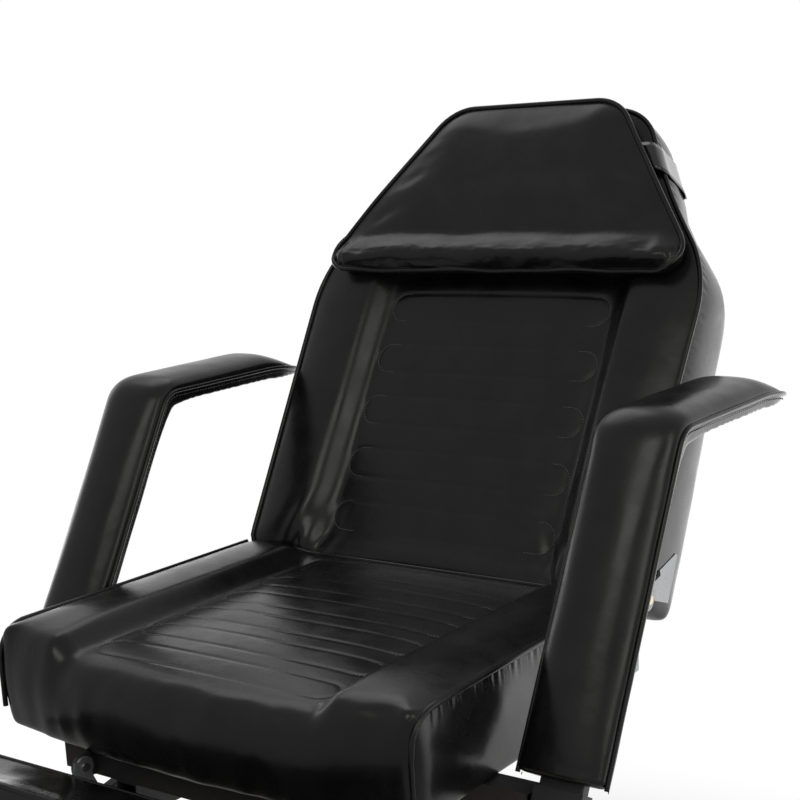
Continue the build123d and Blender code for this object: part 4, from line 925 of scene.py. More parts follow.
# Back cushion
BACK_HALF = ((0.2865, -0.004), (0.2965, 0.348))
SHOULDER_RADIUS, SHOULDER_TURN = 0.165, radians(38)
NECK_RADIUS, NECK_TURN = 0.790, radians(12)
HEAD_RADIUS = 0.075
HEAD_TOP = 0.6395
BACK_RINGS = tuple(0.055 + 0.075 * k for k in range(5))
BACK_SINK_TOP = 0.428
BACK_SINK_END = (BACK_SINK_TOP - 0.028, BACK_SINK_TOP + 0.012)
BACK_FOOT_SINK, BACK_FOOT_SPAN = 0.62, (0.0, 0.03)
BACK_HEAD_DROP, BACK_HEAD_SPAN = 0.006, (0.33, 0.47)
BACK_DEPTH_FOOT, BACK_DEPTH_HEAD, BACK_HEIGHT = 0.115, 0.058, 0.644
BACK_CORNER, BACK_FOOT_RADIUS, BACK_FOOT_POINTS = (0.160, 0.612), 0.014, 140
BACK_ROLL, BACK_BULGE, BACK_BULGE_SPAN = 0.0030, 0.0025, (0.09, 0.14)
BACK_LIP, BACK_FOOT_LIP = 0.0035, 0.010
BACK_DRAW, BACK_DRAW_UP, BACK_DRAW_REACH = 0.012, 0.478, 0.042
CREASE_X, CREASE_WIDTH, CREASE_FADE, CREASE_HEIGHT, CREASE_RATE = 0.19, 0.035, 0.07, 0.0016, 210


def back_outline():
    """Outline of the back: straight flanks, rounded shoulders and a narrower head."""
    step = OUTLINE_STEP
    foot, top = Vector(BACK_HALF[0]), Vector(BACK_HALF[1])
    count = round((top - foot).length / step)
    right = [tuple(foot.lerp(top, k / count)) for k in range(count)]
    place, way = top, (top - foot).normalized()
    heading = np.arctan2(way.y, way.x)
    bends = ((SHOULDER_RADIUS, SHOULDER_TURN), (NECK_RADIUS, -NECK_TURN), (HEAD_RADIUS, None))
    for radius, turn in bends:
        if turn is None:
            turn = pi - radians(4) - heading
        steps = max(6, round(abs(turn) * radius / step))
        for k in range(steps):
            right.append(tuple(place))
            heading += turn / steps / 2
            place = place + Vector((cos(heading), sin(heading))) * 2 * radius * sin(abs(turn) / steps / 2)
            heading += turn / steps / 2
    end = place
    crown = Vector((0.0, HEAD_TOP))
    right.append(tuple(end))
    steps = round(end.x / step)
    for k in range(1, steps):
        share = k / steps
        x = end.x * (1 - share)
        right.append((x, crown.y + (end.y - crown.y) * (x / end.x) ** 2))
    left = [(-x, v) for x, v in right[::-1] if x > 1e-6]
    return round_foot(np.array(right + [tuple(crown)] + left), BACK_FOOT_RADIUS)


def round_foot(outline, radius):
    """Rounds the two foot corners of a symmetric closed outline that starts at its right foot corner."""
    foot_v = outline[0][1]
    rest = outline[(outline[:, 1] > foot_v + radius)]
    half = outline[0][0]
    arc = np.linspace(0, pi / 2, 6)
    right = [(half - radius + radius * sin(a), foot_v + radius - radius * cos(a)) for a in arc]
    left = [(-x, v) for x, v in right[::-1]]
    flat = [(x, foot_v) for x in np.linspace(-half + radius, half - radius, BACK_FOOT_POINTS)[1:-1]]
    return np.array(list(right) + [tuple(p) for p in rest] + left + flat)


def back_rear(points):
    """Depth of the back's rear, which thins towards the head."""
    v = points[:, 1]
    return -BACK_DEPTH_FOOT + (BACK_DEPTH_FOOT - BACK_DEPTH_HEAD) * v / BACK_HEIGHT


def sunk_panel(points, far, crown, sink_share):
    """Height of a cushion's face: crowned bolsters round a sunk and slightly crowned middle."""
    x = np.abs(points[:, 0])
    spring = 1 - (1 - np.clip(far / BOLSTER_SPRING, 0, 1)) ** 2
    high = crown * spring
    inside = (1 - smooth(SINK_FLOOR_X, SINK_RIM_X, x)) * sink_share
    floor_height = -SINK_DEPTH + SINK_CROWN * (1 - (x / SINK_RIM_X) ** 2)
    return high * (1 - inside) + floor_height * inside


def back_top(points, far):
    """Height of the back's face, whose sunk middle ends below the pillow."""
    v = points[:, 1]
    crown = BOLSTER_RISE - BACK_HEAD_DROP * smooth(*BACK_HEAD_SPAN, v)
    share = 1 - smooth(*BACK_SINK_END, v)
    foot_share = BACK_FOOT_SINK + (1 - BACK_FOOT_SINK) * smooth(*BACK_FOOT_SPAN, v)
    return sunk_panel(points, far, crown, share * foot_share)


def back_roll(loop):
    """Radius of the back's rim."""
    return np.full(len(loop), BACK_ROLL)


def back_bulge(loop):
    """Fullness of the back's boxed side, flat beside the seat's plates."""
    return BACK_BULGE * smooth(*BACK_BULGE_SPAN, loop[:, 1])


def back_lip(loop):
    """Depth to which the boxed side turns down round the rear, most at the foot's two ends."""
    low = 1 - smooth(0.05, 0.33, loop[:, 1])
    return BACK_LIP + BACK_FOOT_LIP * low * smooth(0.2, 0.27, np.abs(loop[:, 0]))


def back_draw(loop):
    """How far the boxed side is drawn in above the shoulders."""
    return BACK_DRAW * np.exp(-((loop[:, 1] - BACK_DRAW_UP) / BACK_DRAW_REACH) ** 2)


def back_slope(points):
    """The slopes of the back's sunk middle."""
    return sink_slope(points) & (points[:, 1] < BACK_SINK_TOP)


def back_shape(local, facing):
    """Sewn rings, gathers by the seams and slow wrinkles of the back cushion."""
    height = padding().wrinkle_height
    seam_gap = np.abs(local[:, 2])
    lines = sewn_rings(local, facing, BACK_RINGS)
    gathers = puckers(local, facing, seam_gap, rate=780.0, height=0.0007)
    slow = soft_noise(local, size=0.055, seed=3) * height * 0.55
    ahead = smooth(0.3, 0.7, facing[:, 2])
    crease = foot_creases(local, ahead, reach=0.03)
    return lines + gathers + slow * (1 - 0.5 * ahead) + crease


def foot_creases(local, ahead, reach):
    """Short creases that fan out where the slope of the sunk middle meets the foot."""
    x = np.abs(local[:, 0]) - CREASE_X
    v = local[:, 1]
    near = np.exp(-(x / CREASE_WIDTH) ** 2) * (1 - smooth(reach, reach + CREASE_FADE, v)) * ahead
    return CREASE_HEIGHT * near * np.sin((x * 0.9 + v * 0.35) * CREASE_RATE)


class CHAIR_OT_back(bpy.types.Operator):
    """Makes the back cushion with its piping and stitched rings"""

    bl_idname = "chair.back_cushion"
    bl_label = "Back Cushion"

    def execute(self, context):
        foot, head = BACK_HALF[0], BACK_CORNER
        corners = ((-0.286, foot[1]), (0.286, foot[1]), head, (-head[0], head[1]))
        cushion = Cushion(
            "back_cushion_cover", BACK, back_outline(), corners, "back", back_top, back_rear,
            roll=back_roll, bulge=back_bulge, lip=back_lip, draw=back_draw,
        )
        swell(cushion.piece, cushion.pinned(back_slope), limit_share=0.8)
        fold_in(cushion, back_shape)
        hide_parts("back_cushion")
        front = cushion.beside(cushion.rim, out=-0.0004, rise=-0.0001)
        piping("back_piping", [(front, True)], padding().piping_radius, "back")
        laid = lifted(cushion.piece, ring_lines(BACK_RINGS), BACK, gap=0.0003)
        stitches("back_ring_stitches", [(line, True) for line in laid], "back")
        return {"FINISHED"}


# Seat cushion
SEAT_REAR_Y, SEAT_FRONT_Y, SEAT_BOW = 0.196, -0.242, 0.026
SEAT_TUCK_Y = 0.180
SEAT_HALF_REAR, SEAT_HALF_FRONT = 0.2860, 0.2975
SEAT_ROUND, SEAT_ROLL = 0.030, 0.0035
SEAT_CORNER_RADIUS, SEAT_REAR_RADIUS, SEAT_BOW_RADIUS = 0.016, 0.010, 0.0005
SEAT_TAPER_Y = 0.204
SEAT_OUTLINE_POINTS = 560
SEAT_TUCK_RUN, SEAT_TUCK_TOP, SEAT_TUCK_DROP, SEAT_TUCK_SLOPE = 0.020, 0.011, 0.013, 0.613
SEAT_SINK, SEAT_REAR_SINK, SEAT_FRONT_DROP = 0.97, 0.42, 0.004
SEAT_BULGE, SEAT_FRONT_BULGE = 0.002, 0.003
SEAM_OUT, SEAM_RISE, SEAM_TURN, SEAM_DRAW = 0.0012, 0.0005, 0.038, 0.004
SEAM_TURN_Y, SEAM_DROP_SPAN, SEAM_POINTS = SEAT_FRONT_Y + 0.036, (0.046, 0.092), 130
SEAT_RINGS = tuple(0.152 - 0.070 * k for k in range(6))


def seat_half(y):
    """Half width of the seat at a place along it."""
    share = (SEAT_TAPER_Y - y) / (SEAT_TAPER_Y - SEAT_FRONT_Y)
    return SEAT_HALF_REAR + (SEAT_HALF_FRONT - SEAT_HALF_REAR) * share


def seat_outline():
    """Outline of the seat from above, starting at its front left corner."""
    front = []
    for x in np.linspace(-1, 1, 41)[1:-1]:
        front.append((x * SEAT_HALF_FRONT, SEAT_FRONT_Y - SEAT_BOW * (1 - x * x)))
    corners = [(-SEAT_HALF_FRONT, SEAT_FRONT_Y), *front, (SEAT_HALF_FRONT, SEAT_FRONT_Y)]
    corners += [(seat_half(SEAT_REAR_Y), SEAT_REAR_Y), (-seat_half(SEAT_REAR_Y), SEAT_REAR_Y)]
    radii = [SEAT_CORNER_RADIUS, *[SEAT_BOW_RADIUS] * len(front), SEAT_CORNER_RADIUS]
    outline = rounded_outline(corners, radii + [SEAT_REAR_RADIUS] * 2)
    return even_loop(outline, SEAT_OUTLINE_POINTS)


def seat_top(points, far):
    """Height of the seat's face, which dips under the back's foot at its rear."""
    y = points[:, 1]
    crown = BOLSTER_RISE - SEAT_FRONT_DROP * smooth(-0.16, -0.25, y)
    high = sunk_panel(points, far, crown, SEAT_SINK - SEAT_REAR_SINK * smooth(0.150, 0.190, y))
    dip = SEAT_TUCK_DROP * smooth(SEAT_TUCK_Y - SEAT_TUCK_RUN, SEAT_TUCK_Y, y)
    dip += SEAT_TUCK_SLOPE * np.maximum(y - SEAT_TUCK_Y, 0)
    return np.minimum(high, SEAT_TUCK_TOP - dip)


def seat_rear(points):
    """Depth of the seat's underside, below its board."""
    return np.full(len(points), -CUSHION_DEPTH - BOARD_THICKNESS - BOARD_COVER)


def seat_roll(loop):
    """Radius of the seat's rim: a full round along the front, tight along the piped sides."""
    ahead = 1 - smooth(SEAT_FRONT_Y + 0.002, SEAT_FRONT_Y + 0.030, loop[:, 1])
    inside = 1 - smooth(0.27, 0.299, np.abs(loop[:, 0]))
    return SEAT_ROLL + (SEAT_ROUND - SEAT_ROLL) * ahead * (0.25 + 0.75 * inside)


def seat_bulge(loop):
    """Fullness of the seat's boxed side, flat beside the side plates."""
    ahead = 1 - smooth(SEAT_FRONT_Y, SEAT_FRONT_Y + 0.05, loop[:, 1])
    beside_plate = smooth(0.03, 0.06, loop[:, 1])
    return SEAT_BULGE * (1 - beside_plate) + SEAT_FRONT_BULGE * ahead


def seat_shape(local, facing):
    """Sewn rings, front wrinkles and seam gathers of the seat cushion."""
    height = padding().wrinkle_height
    seam_gap = np.abs(local[:, 2])
    lines = sewn_rings(local, facing, SEAT_RINGS)
    gathers = puckers(local, facing, seam_gap, rate=760.0, height=0.0006)
    slow = soft_noise(local, size=0.06, seed=11) * height * 0.5
    front = smooth(0.2, 0.8, -facing[:, 1]) * smooth(-0.2, -0.25, local[:, 1])
    folds = 0.0016 * front * soft_noise(local * np.array([1.0, 1.0, 0.35]), size=0.03, seed=17)
    return lines + gathers + slow + folds


def seat_side_seam(side):
    """Piping along one side of the seat, which turns down over the front corner."""
    line = []
    for y in np.linspace(SEAT_TUCK_Y - 0.004, SEAM_TURN_Y, 60):
        line.append((side * (seat_half(y) + SEAM_OUT), y, SEAM_RISE))
    for angle in np.linspace(0, pi / 2, 16)[1:]:
        y = SEAM_TURN_Y - SEAM_TURN * sin(angle)
        x = seat_half(y) + SEAM_OUT - SEAM_DRAW * sin(angle)
        line.append((side * x, y, -SEAM_TURN * (1 - cos(angle))))
    for drop in np.linspace(*SEAM_DROP_SPAN, 8):
        line.append((side * (SEAT_HALF_FRONT - SEAT_ROLL), SEAT_FRONT_Y - 0.0025, -drop))
    return even(np.array(line), SEAM_POINTS)


class CHAIR_OT_seat(bpy.types.Operator):
    """Makes the seat cushion with its side piping and stitched rings"""

    bl_idname = "chair.seat_cushion"
    bl_label = "Seat Cushion"

    def execute(self, context):
        front, rear = (SEAT_HALF_FRONT, SEAT_FRONT_Y), (seat_half(SEAT_REAR_Y), SEAT_REAR_Y)
        corners = ((-front[0], front[1]), front, rear, (-rear[0], rear[1]))
        cushion = Cushion(
            "seat_cushion_cover", SEAT, seat_outline(), corners, "seat", seat_top, seat_rear,
            roll=seat_roll, bulge=seat_bulge, fold=REAR_FOLD,
        )
        swell(cushion.piece, cushion.pinned(sink_slope), limit_share=0.8)
        fold_in(cushion, seat_shape)
        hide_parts("seat_cushion")
        paths = [(SEAT.place(seat_side_seam(side)), False) for side in (-1, 1)]
        piping("seat_piping", paths, padding().piping_radius, "seat")
        laid = lifted(cushion.piece, ring_lines(SEAT_RINGS[1:]), SEAT, gap=0.0002)
        stitches("seat_ring_stitches", [(line, True) for line in laid], "seat")
        return {"FINISHED"}


# Leg rest cushion
LEG_START, LEG_LENGTH = 0.005, 0.430
LEG_FOOT = -LEG_START - LEG_LENGTH
LEG_HALF, LEG_FOOT_HALF = 0.296, 0.290
LEG_BULGE, LEG_HINGE_DRAW, LEG_OUTLINE_POINTS = 0.0025, 0.0115, 540
LEG_FACE, LEG_BOARD = 0.128, 0.030
LEG_FOOT_CORNER, LEG_HEAD_CORNER, LEG_ROLL = 0.045, 0.006, 0.0035
LEG_RINGS = tuple(-0.062 - 0.070 * k for k in range(5))
LEG_RAISED = Face(LEG_HINGE + Vector(LEG.axes[2]) * LEG_FACE, (0, cos(LEG_ANGLE), sin(LEG_ANGLE)))


def leg_outline():
    """Outline of the leg rest, with rounder corners at its foot."""
    corners = [
        (-LEG_FOOT_HALF, LEG_FOOT), (LEG_FOOT_HALF, LEG_FOOT), (LEG_HALF, -LEG_START), (-LEG_HALF, -LEG_START)
    ]
    outline = rounded_outline(corners, [LEG_FOOT_CORNER, LEG_FOOT_CORNER, LEG_HEAD_CORNER, LEG_HEAD_CORNER])
    return even_loop(outline, LEG_OUTLINE_POINTS)


def leg_top(points, far):
    """Height of the leg rest's face above the hinge."""
    v = points[:, 1]
    share = smooth(LEG_FOOT + 0.012, LEG_FOOT + 0.045, v)
    share = share * (1 - 0.3 * smooth(-0.02, -0.005, v))
    crown = BOLSTER_RISE - 0.004 * (1 - smooth(-0.43, -0.37, v))
    return LEG_FACE + sunk_panel(points, far, crown, share)


def leg_rear(points):
    """Depth of the leg rest's underside, below its board."""
    return np.full(len(points), LEG_BOARD - BOARD_THICKNESS - BOARD_COVER)


def leg_roll(loop):
    """Radius of the leg rest's rim."""
    return np.full(len(loop), LEG_ROLL)


def leg_bulge(loop):
    """Fullness of the leg rest's boxed side, drawn in at the hinge so that it clears the seat."""
    return LEG_BULGE - LEG_HINGE_DRAW * smooth(-0.020, -0.008, loop[:, 1])


def leg_shape(local, facing):
    """Sewn rings, seam gathers and slow wrinkles of the leg rest."""
    lines = sewn_rings(local, facing, LEG_RINGS)
    gathers = puckers(local, facing, np.abs(local[:, 2] - LEG_FACE), rate=780.0, height=0.0006)
    return lines + gathers + soft_noise(local, size=0.06, seed=23) * padding().wrinkle_height * 0.5


class CHAIR_OT_leg(bpy.types.Operator):
    """Makes the leg rest cushion with its piping and stitched rings"""

    bl_idname = "chair.leg_cushion"
    bl_label = "Leg Rest Cushion"

    def execute(self, context):
        inset = 0.013
        corners = (
            (-LEG_FOOT_HALF + inset, LEG_FOOT + inset), (LEG_FOOT_HALF - inset, LEG_FOOT + inset),
            (LEG_HALF, -LEG_START), (-LEG_HALF, -LEG_START),
        )
        cushion = Cushion(
            "leg_cushion_cover", LEG, leg_outline(), corners, "leg_rest", leg_top, leg_rear,
            roll=leg_roll, bulge=leg_bulge, fold=REAR_FOLD,
        )
        swell(cushion.piece, cushion.pinned(sink_slope), limit_share=0.6)
        fold_in(cushion, leg_shape)
        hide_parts("leg_cushion")
        drawn = 0.004 * smooth(-0.02, -0.005, cushion.rim[:, 1])
        front = cushion.beside(cushion.rim, out=0.0016 - drawn, rise=-0.0006)
        rear = cushion.beside(cushion.base, out=0.0015 - drawn, rise=0.003)
        piping("leg_piping", [(front, True), (rear, True)], padding().piping_radius, "leg_rest")
        laid = lifted(cushion.piece, ring_lines(LEG_RINGS), LEG_RAISED, gap=0.0002)
        stitches("leg_ring_stitches", [(line, True) for line in laid], "leg_rest")
        return {"FINISHED"}


# Head pillow
PILLOW_FOOT, PILLOW_TOP = 0.395, 0.638
PILLOW_FOOT_HALF, PILLOW_TOP_HALF = 0.2926, 0.1288
PILLOW_REAR, PILLOW_SEAM_LOW, PILLOW_SEAM_HIGH = 0.0068, 0.014, 0.022
PILLOW_CORNER, PILLOW_TOP_CORNER, PILLOW_ROLL, PILLOW_BULGE = 0.028, 0.062, 0.003, 0.0015
ROLL_UP, ROLL_RISE, ROLL_HALF, ROLL_FADE = 0.4095, 0.019, 0.240, 0.05
ROLL_SLOPE, ROLL_UNDER = 0.035, 0.014
PILLOW_CROWN, PILLOW_SPRING, PILLOW_OUTLINE_POINTS = 0.009, 0.03, 480
ROLL_FOLD_REACH = 0.022
PINCH_X, PINCH_WIDTH, PINCH_HEIGHT = 0.262, 0.014, 0.0011


def pillow_outline():
    """Outline of the pillow, narrower at its top."""
    corners = [
        (-PILLOW_FOOT_HALF, PILLOW_FOOT), (PILLOW_FOOT_HALF, PILLOW_FOOT),
        (PILLOW_TOP_HALF, PILLOW_TOP), (-PILLOW_TOP_HALF, PILLOW_TOP),
    ]
    outline = rounded_outline(corners, [PILLOW_CORNER, PILLOW_CORNER, PILLOW_TOP_CORNER, PILLOW_TOP_CORNER])
    return even_loop(outline, PILLOW_OUTLINE_POINTS)


def pillow_top(points, far):
    """Face of the pillow: a flat crowned panel with a thick soft roll along its foot."""
    x, v = np.abs(points[:, 0]), points[:, 1]
    seam_rise = smooth(PILLOW_FOOT, PILLOW_FOOT + 0.12, v)
    seam = PILLOW_SEAM_LOW + (PILLOW_SEAM_HIGH - PILLOW_SEAM_LOW) * seam_rise
    crown = PILLOW_CROWN * (1 - (1 - np.clip(far / PILLOW_SPRING, 0, 1)) ** 2)
    wave = 0.0012 * np.sin(points[:, 0] * 34 + 0.6) + 0.0006 * np.sin(points[:, 0] * 71 + 2.0)
    above = v - ROLL_UP - wave
    slope = 1 - np.clip(above / ROLL_SLOPE, 0.0, 1.0)
    below = np.clip(above / ROLL_UNDER, -1.0, 0.0)
    ridge = 0.88 * slope + 0.12 * np.sin(slope * pi / 2)
    bump = np.where(above > 0, ridge, np.cos(below * pi / 2) ** 0.55)
    fade = 1 - smooth(ROLL_HALF, ROLL_HALF + ROLL_FADE, x)
    return seam + crown + ROLL_RISE * bump * fade


def pillow_rear(points):
    """Depth of the pillow's rear, just above the back's face."""
    return np.full(len(points), PILLOW_REAR)


def pillow_roll(loop):
    """Radius of the pillow's rim."""
    return np.full(len(loop), PILLOW_ROLL)


def pillow_bulge(loop):
    """Fullness of the pillow's boxed side."""
    return np.full(len(loop), PILLOW_BULGE)


def pillow_shape(local, facing):
    """Soft wrinkles along the roll and gathers under it."""
    height = padding().wrinkle_height
    near = np.exp(-((local[:, 1] - ROLL_UP) / ROLL_FOLD_REACH) ** 2) * smooth(0.0, 0.5, facing[:, 2])
    drawn = local * np.array([1.0, 2.6, 1.0])
    folds = 0.0012 * soft_noise(drawn, size=0.032, seed=31) + 0.0005 * soft_noise(drawn, size=0.013, seed=37)
    ends = np.exp(-((np.abs(local[:, 0]) - PINCH_X) / PINCH_WIDTH) ** 2)
    pinch = PINCH_HEIGHT * ends * np.sin(np.abs(local[:, 0]) * 420 + local[:, 1] * 190)
    return (folds + pinch) * near + soft_noise(local, size=0.07, seed=29) * height * 0.5


class CHAIR_OT_pillow(bpy.types.Operator):
    """Makes the head pillow with its piping"""

    bl_idname = "chair.head_pillow"
    bl_label = "Head Pillow"

    def execute(self, context):
        low = (PILLOW_FOOT_HALF - 0.012, PILLOW_FOOT + 0.006)
        high = (PILLOW_TOP_HALF - 0.008, PILLOW_TOP - 0.012)
        corners = ((-low[0], low[1]), low, high, (-high[0], high[1]))
        cushion = Cushion(
            "head_pillow_cover", BACK, pillow_outline(), corners, "pillow", pillow_top, pillow_rear,
            roll=pillow_roll, bulge=pillow_bulge, wall_rings=4, cell=PILLOW_CELL,
        )
        swell(cushion.piece, cushion.pinned(), limit_share=0.5)
        fold_in(cushion, pillow_shape)
        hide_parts("head_pillow")
        front = cushion.beside(cushion.rim, out=0.0014, rise=-0.0006)
        piping("pillow_piping", [(front, True)], padding().piping_radius, "pillow")
        return {"FINISHED"}


# Pillow strap
STRAP_FOOT, STRAP_WIDTH, STRAP_THICKNESS = 0.540, 0.040, 0.0016
STRAP_GAP, STRAP_CORD_GAP, STRAP_FRONT, STRAP_BEHIND = 0.0042, 0.0048, 0.0115, 0.0028
STRAP_ROWS, STRAP_POINTS, STRAP_FLANK = 7, 200, (0.45, 0.61)


def strap_line(up):
    """Loop of the strap round the back at a height, closed, as (x, n)."""
    flank = back_outline()
    flank = flank[(flank[:, 0] > 0) & (flank[:, 1] > STRAP_FLANK[0]) & (flank[:, 1] < STRAP_FLANK[1])]
    flank = flank[np.argsort(flank[:, 1])]
    half = np.interp(up, flank[:, 1], flank[:, 0])
    wall, corded = half + STRAP_GAP, half + STRAP_CORD_GAP
    rear = float(back_rear(np.array([(0.0, up)]))[0]) - STRAP_BEHIND
    right = [
        (wall - 0.004, rear), (wall, rear + 0.018), (wall, -0.014),
        (corded, -0.002), (corded - 0.006, STRAP_FRONT),
    ]
    corners = right + [(-x, n) for x, n in right[::-1]]
    radii = [0.005, 0.02, 0.008, 0.003, 0.004]
    line = rounded_outline(corners, radii + radii[::-1])
    return even_loop(line, STRAP_POINTS)


class CHAIR_OT_strap(bpy.types.Operator):
    """Makes the woven strap that holds the pillow round the back"""

    bl_idname = "chair.pillow_strap"
    bl_label = "Pillow Strap"

    def execute(self, context):
        ups = np.linspace(STRAP_FOOT, STRAP_FOOT + STRAP_WIDTH, STRAP_ROWS)
        lines = [strap_line(up) for up in ups]
        ways = [outward(line) for line in lines]
        half = STRAP_THICKNESS / 2
        section = [(row, half) for row in range(STRAP_ROWS)]
        section += [(row, -half) for row in reversed(range(STRAP_ROWS))]
        points = []
        for place in range(STRAP_POINTS):
            for row, out in section:
                x, n = lines[row][place] + ways[row][place] * out
                points.append((x, ups[row], n))
        faces = ring_faces(STRAP_POINTS, len(section), closed=True)
        piece = mesh_object("pillow_strap_band", BACK.place(points), faces, "pillow", "black_webbing")
        correct_normals(piece)
        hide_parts("pillow_strap")
        return {"FINISHED"}


def correct_normals(piece):
    """Turns every face of a closed piece outwards."""
    shape = bmesh.new()
    shape.from_mesh(piece.data)
    bmesh.ops.recalc_face_normals(shape, faces=shape.faces)
    shape.to_mesh(piece.data)
    shape.free()


# Armrest pads
ARM_X, ARM_HALF = 0.369, 0.050
ARM_CORNER = (0.082, 0.859)
ARM_BEND, ARM_FOOT_Z, ARM_REAR_Y = 0.031, 0.538, 0.360
ARM_DROP, ARM_DROP_START = 0.013, 0.085
ARM_ANGLE = radians(60)
ARM_BAND, ARM_CROWN, ARM_UNDER_INSET = 0.0155, 0.0195, 0.003
ARM_TIP, ARM_TIP_SHARE, ARM_TIP_FADE = 0.055, 0.62, 0.080
ARM_ELBOW_DEPTH, ARM_ELBOW_REACH = 0.0055, 0.035
ARM_FOLD, ARM_FOLD_RATE = 0.0003, 430
ARM_CREASE, ARM_CREASE_RATE, ARM_CREASE_Y, ARM_CREASE_REACH = 0.0009, 380, 0.115, 0.022
ARM_PIPING, ARM_SEAM_GAP, ARM_STITCH_DROP, ARM_STITCH_PITCH = 0.0026, 0.0008, 0.0068, 0.005


def arm_line(step=0.006):
    """Stations along the armrest's seam line in the side view: place, direction and distance."""
    way = np.array([cos(ARM_ANGLE), sin(ARM_ANGLE)])
    corner = np.array(ARM_CORNER)
    foot = corner - way * (ARM_CORNER[1] - ARM_FOOT_Z) / sin(ARM_ANGLE)
    reach = ARM_BEND * np.tan(ARM_ANGLE / 2)
    end = corner + np.array([reach, 0])
    centre = end - np.array([0, ARM_BEND])
    arc = [centre + ARM_BEND * np.array([-sin(a), cos(a)]) for a in np.linspace(ARM_ANGLE, 0, 24)]
    line = np.array([foot, *arc, (ARM_REAR_Y, ARM_CORNER[1])])
    length = np.linalg.norm(np.diff(line, axis=0), axis=1).sum()
    line = even(line, round(length / step))
    low = np.clip((line[:, 0] - ARM_REAR_Y + ARM_DROP_START) / ARM_DROP_START, 0, 1)
    line[:, 1] -= ARM_DROP * low ** 2
    ahead = np.gradient(line, axis=0)
    ahead /= np.linalg.norm(ahead, axis=1)[:, None]
    distance = np.concatenate([[0], np.cumsum(np.linalg.norm(np.diff(line, axis=0), axis=1))])
    return line, ahead, distance


def arm_section(count_top=18, count_side=3, count_back=14):
    """Section of the pad as (across, out) shares: crowned top, seam, drawn band and flat underside."""
    top = []
    for a in np.linspace(0, pi, count_top + 1):
        height = max(sin(a), 0.0) ** 0.72 * (0.88 + 0.12 * sin(a) ** 2)
        top.append((-np.sign(cos(a)) * abs(cos(a)) ** 0.78, height))
    right = [(1.0, -share) for share in np.linspace(0.18, 1, count_side + 1)]
    back = [(1 - 2 * share, -1.0) for share in np.linspace(0, 1, count_back + 1)[1:]]
    left = [(-1.0, -share) for share in np.linspace(1, 0.18, count_side + 1)[1:]]
    return top, right + back + left


def arm_pad(side, word):
    """One armrest pad and the places of its seams."""
    line, ahead, distance = arm_line()
    total = distance[-1]
    top, under = arm_section()
    rings, seams = [], ([], [])
    for (y, z), (wy, wz), place in zip(line, ahead, distance):
        out = np.array([-wz, wy])
        left_over = total - place
        tip = np.sqrt(np.clip(1 - (1 - np.clip(left_over / ARM_TIP, 0, 1)) ** 2, 0, 1))
        crown = ARM_CROWN * (0.10 + 0.90 * smooth(0, ARM_TIP_FADE, left_over))
        wide = ARM_HALF * (ARM_TIP_SHARE + (1 - ARM_TIP_SHARE) * tip)
        bend = np.exp(-(hypot(y - ARM_CORNER[0], z - ARM_CORNER[1]) / ARM_ELBOW_REACH) ** 2)
        band = ARM_BAND * (0.5 + 0.5 * smooth(0, 0.06, left_over)) + ARM_ELBOW_DEPTH * bend
        ring = [(across * wide, height * crown) for across, height in top]
        for across, height in under:
            inner = wide - ARM_UNDER_INSET * min(1.0, -height * 1.4)
            ring.append((across * inner, height * band))
        rings.append([(side * ARM_X + u, y + out[0] * n, z + out[1] * n) for u, n in ring])
        for way, seam in zip((-1, 1), seams):
            seam.append((side * ARM_X + way * (wide + ARM_SEAM_GAP), y, z))
    count, around = len(rings), len(rings[0])
    faces = ring_faces(count, around, closed=False)
    points = [p for ring in rings for p in ring]
    piece = mesh_object(f"arm_pad_{word}_cover", points, faces, f"arm_{word}", "black_vinyl")
    correct_normals(piece)
    last_top = len(top) - 1
    held = set(range(around)) | set(range((count - 2) * around, count * around))
    for a in range(count):
        held |= {a * around, a * around + last_top}
        held |= {a * around + j for j in range(last_top + 3, around - 2)}
    swell(piece, held, limit_share=0.5)
    refine(piece, 1)
    return piece, [np.array(seam) for seam in seams]


def arm_gathers(piece, side):
    """Gathers that run across the underside of the pad behind its elbow."""
    points, ways = positions(piece), normals(piece)
    y, z = points[:, 1], points[:, 2]
    under = smooth(-0.2, -0.8, ways[:, 2]) * smooth(0.10, 0.13, y)
    edge = smooth(0.020, 0.046, np.abs(points[:, 0] - side * ARM_X))
    wave = np.sin(y * ARM_FOLD_RATE + 1.8 * np.sin(y * 97))
    elbow = np.exp(-((y - ARM_CREASE_Y) / ARM_CREASE_REACH) ** 2) * smooth(-0.2, 0.5, ways[:, 1])
    folds = ARM_FOLD * wave * under * edge + ARM_CREASE * elbow * np.sin(z * ARM_CREASE_RATE)
    slow = soft_noise(points, size=0.05, seed=41 + side) * padding().wrinkle_height * 0.5
    move_to(piece, points + ways * (folds + slow)[:, None])


def arm_piping_path(seams):
    """Path up one seam of a pad, round its tip and down the other seam."""
    start, end = seams[0][-1], seams[1][-1]
    tip = (start + end) / 2 + np.array([0, 0.003, 0])
    bend = [
        (tip[0] - cos(a) * (end[0] - tip[0]), tip[1] - 0.002 + 0.0045 * sin(a), tip[2])
        for a in np.linspace(0, pi, 13)[1:-1]
    ]
    return even(np.vstack([seams[0], bend, seams[1][::-1]]), 260)


def arm_stitch_rows(seams):
    """Rows of stitches in the band below each seam of a pad."""
    rows = []
    for way, seam in zip((-1, 1), seams):
        ahead = np.gradient(seam, axis=0)
        ahead /= np.linalg.norm(ahead, axis=1)[:, None]
        inward = np.cross(ahead, (1, 0, 0))
        inward *= -np.sign(inward[:, 2:3] + 1e-9)
        rows.append(seam + inward * ARM_STITCH_DROP - np.array([way * 0.0012, 0, 0]))
    return rows


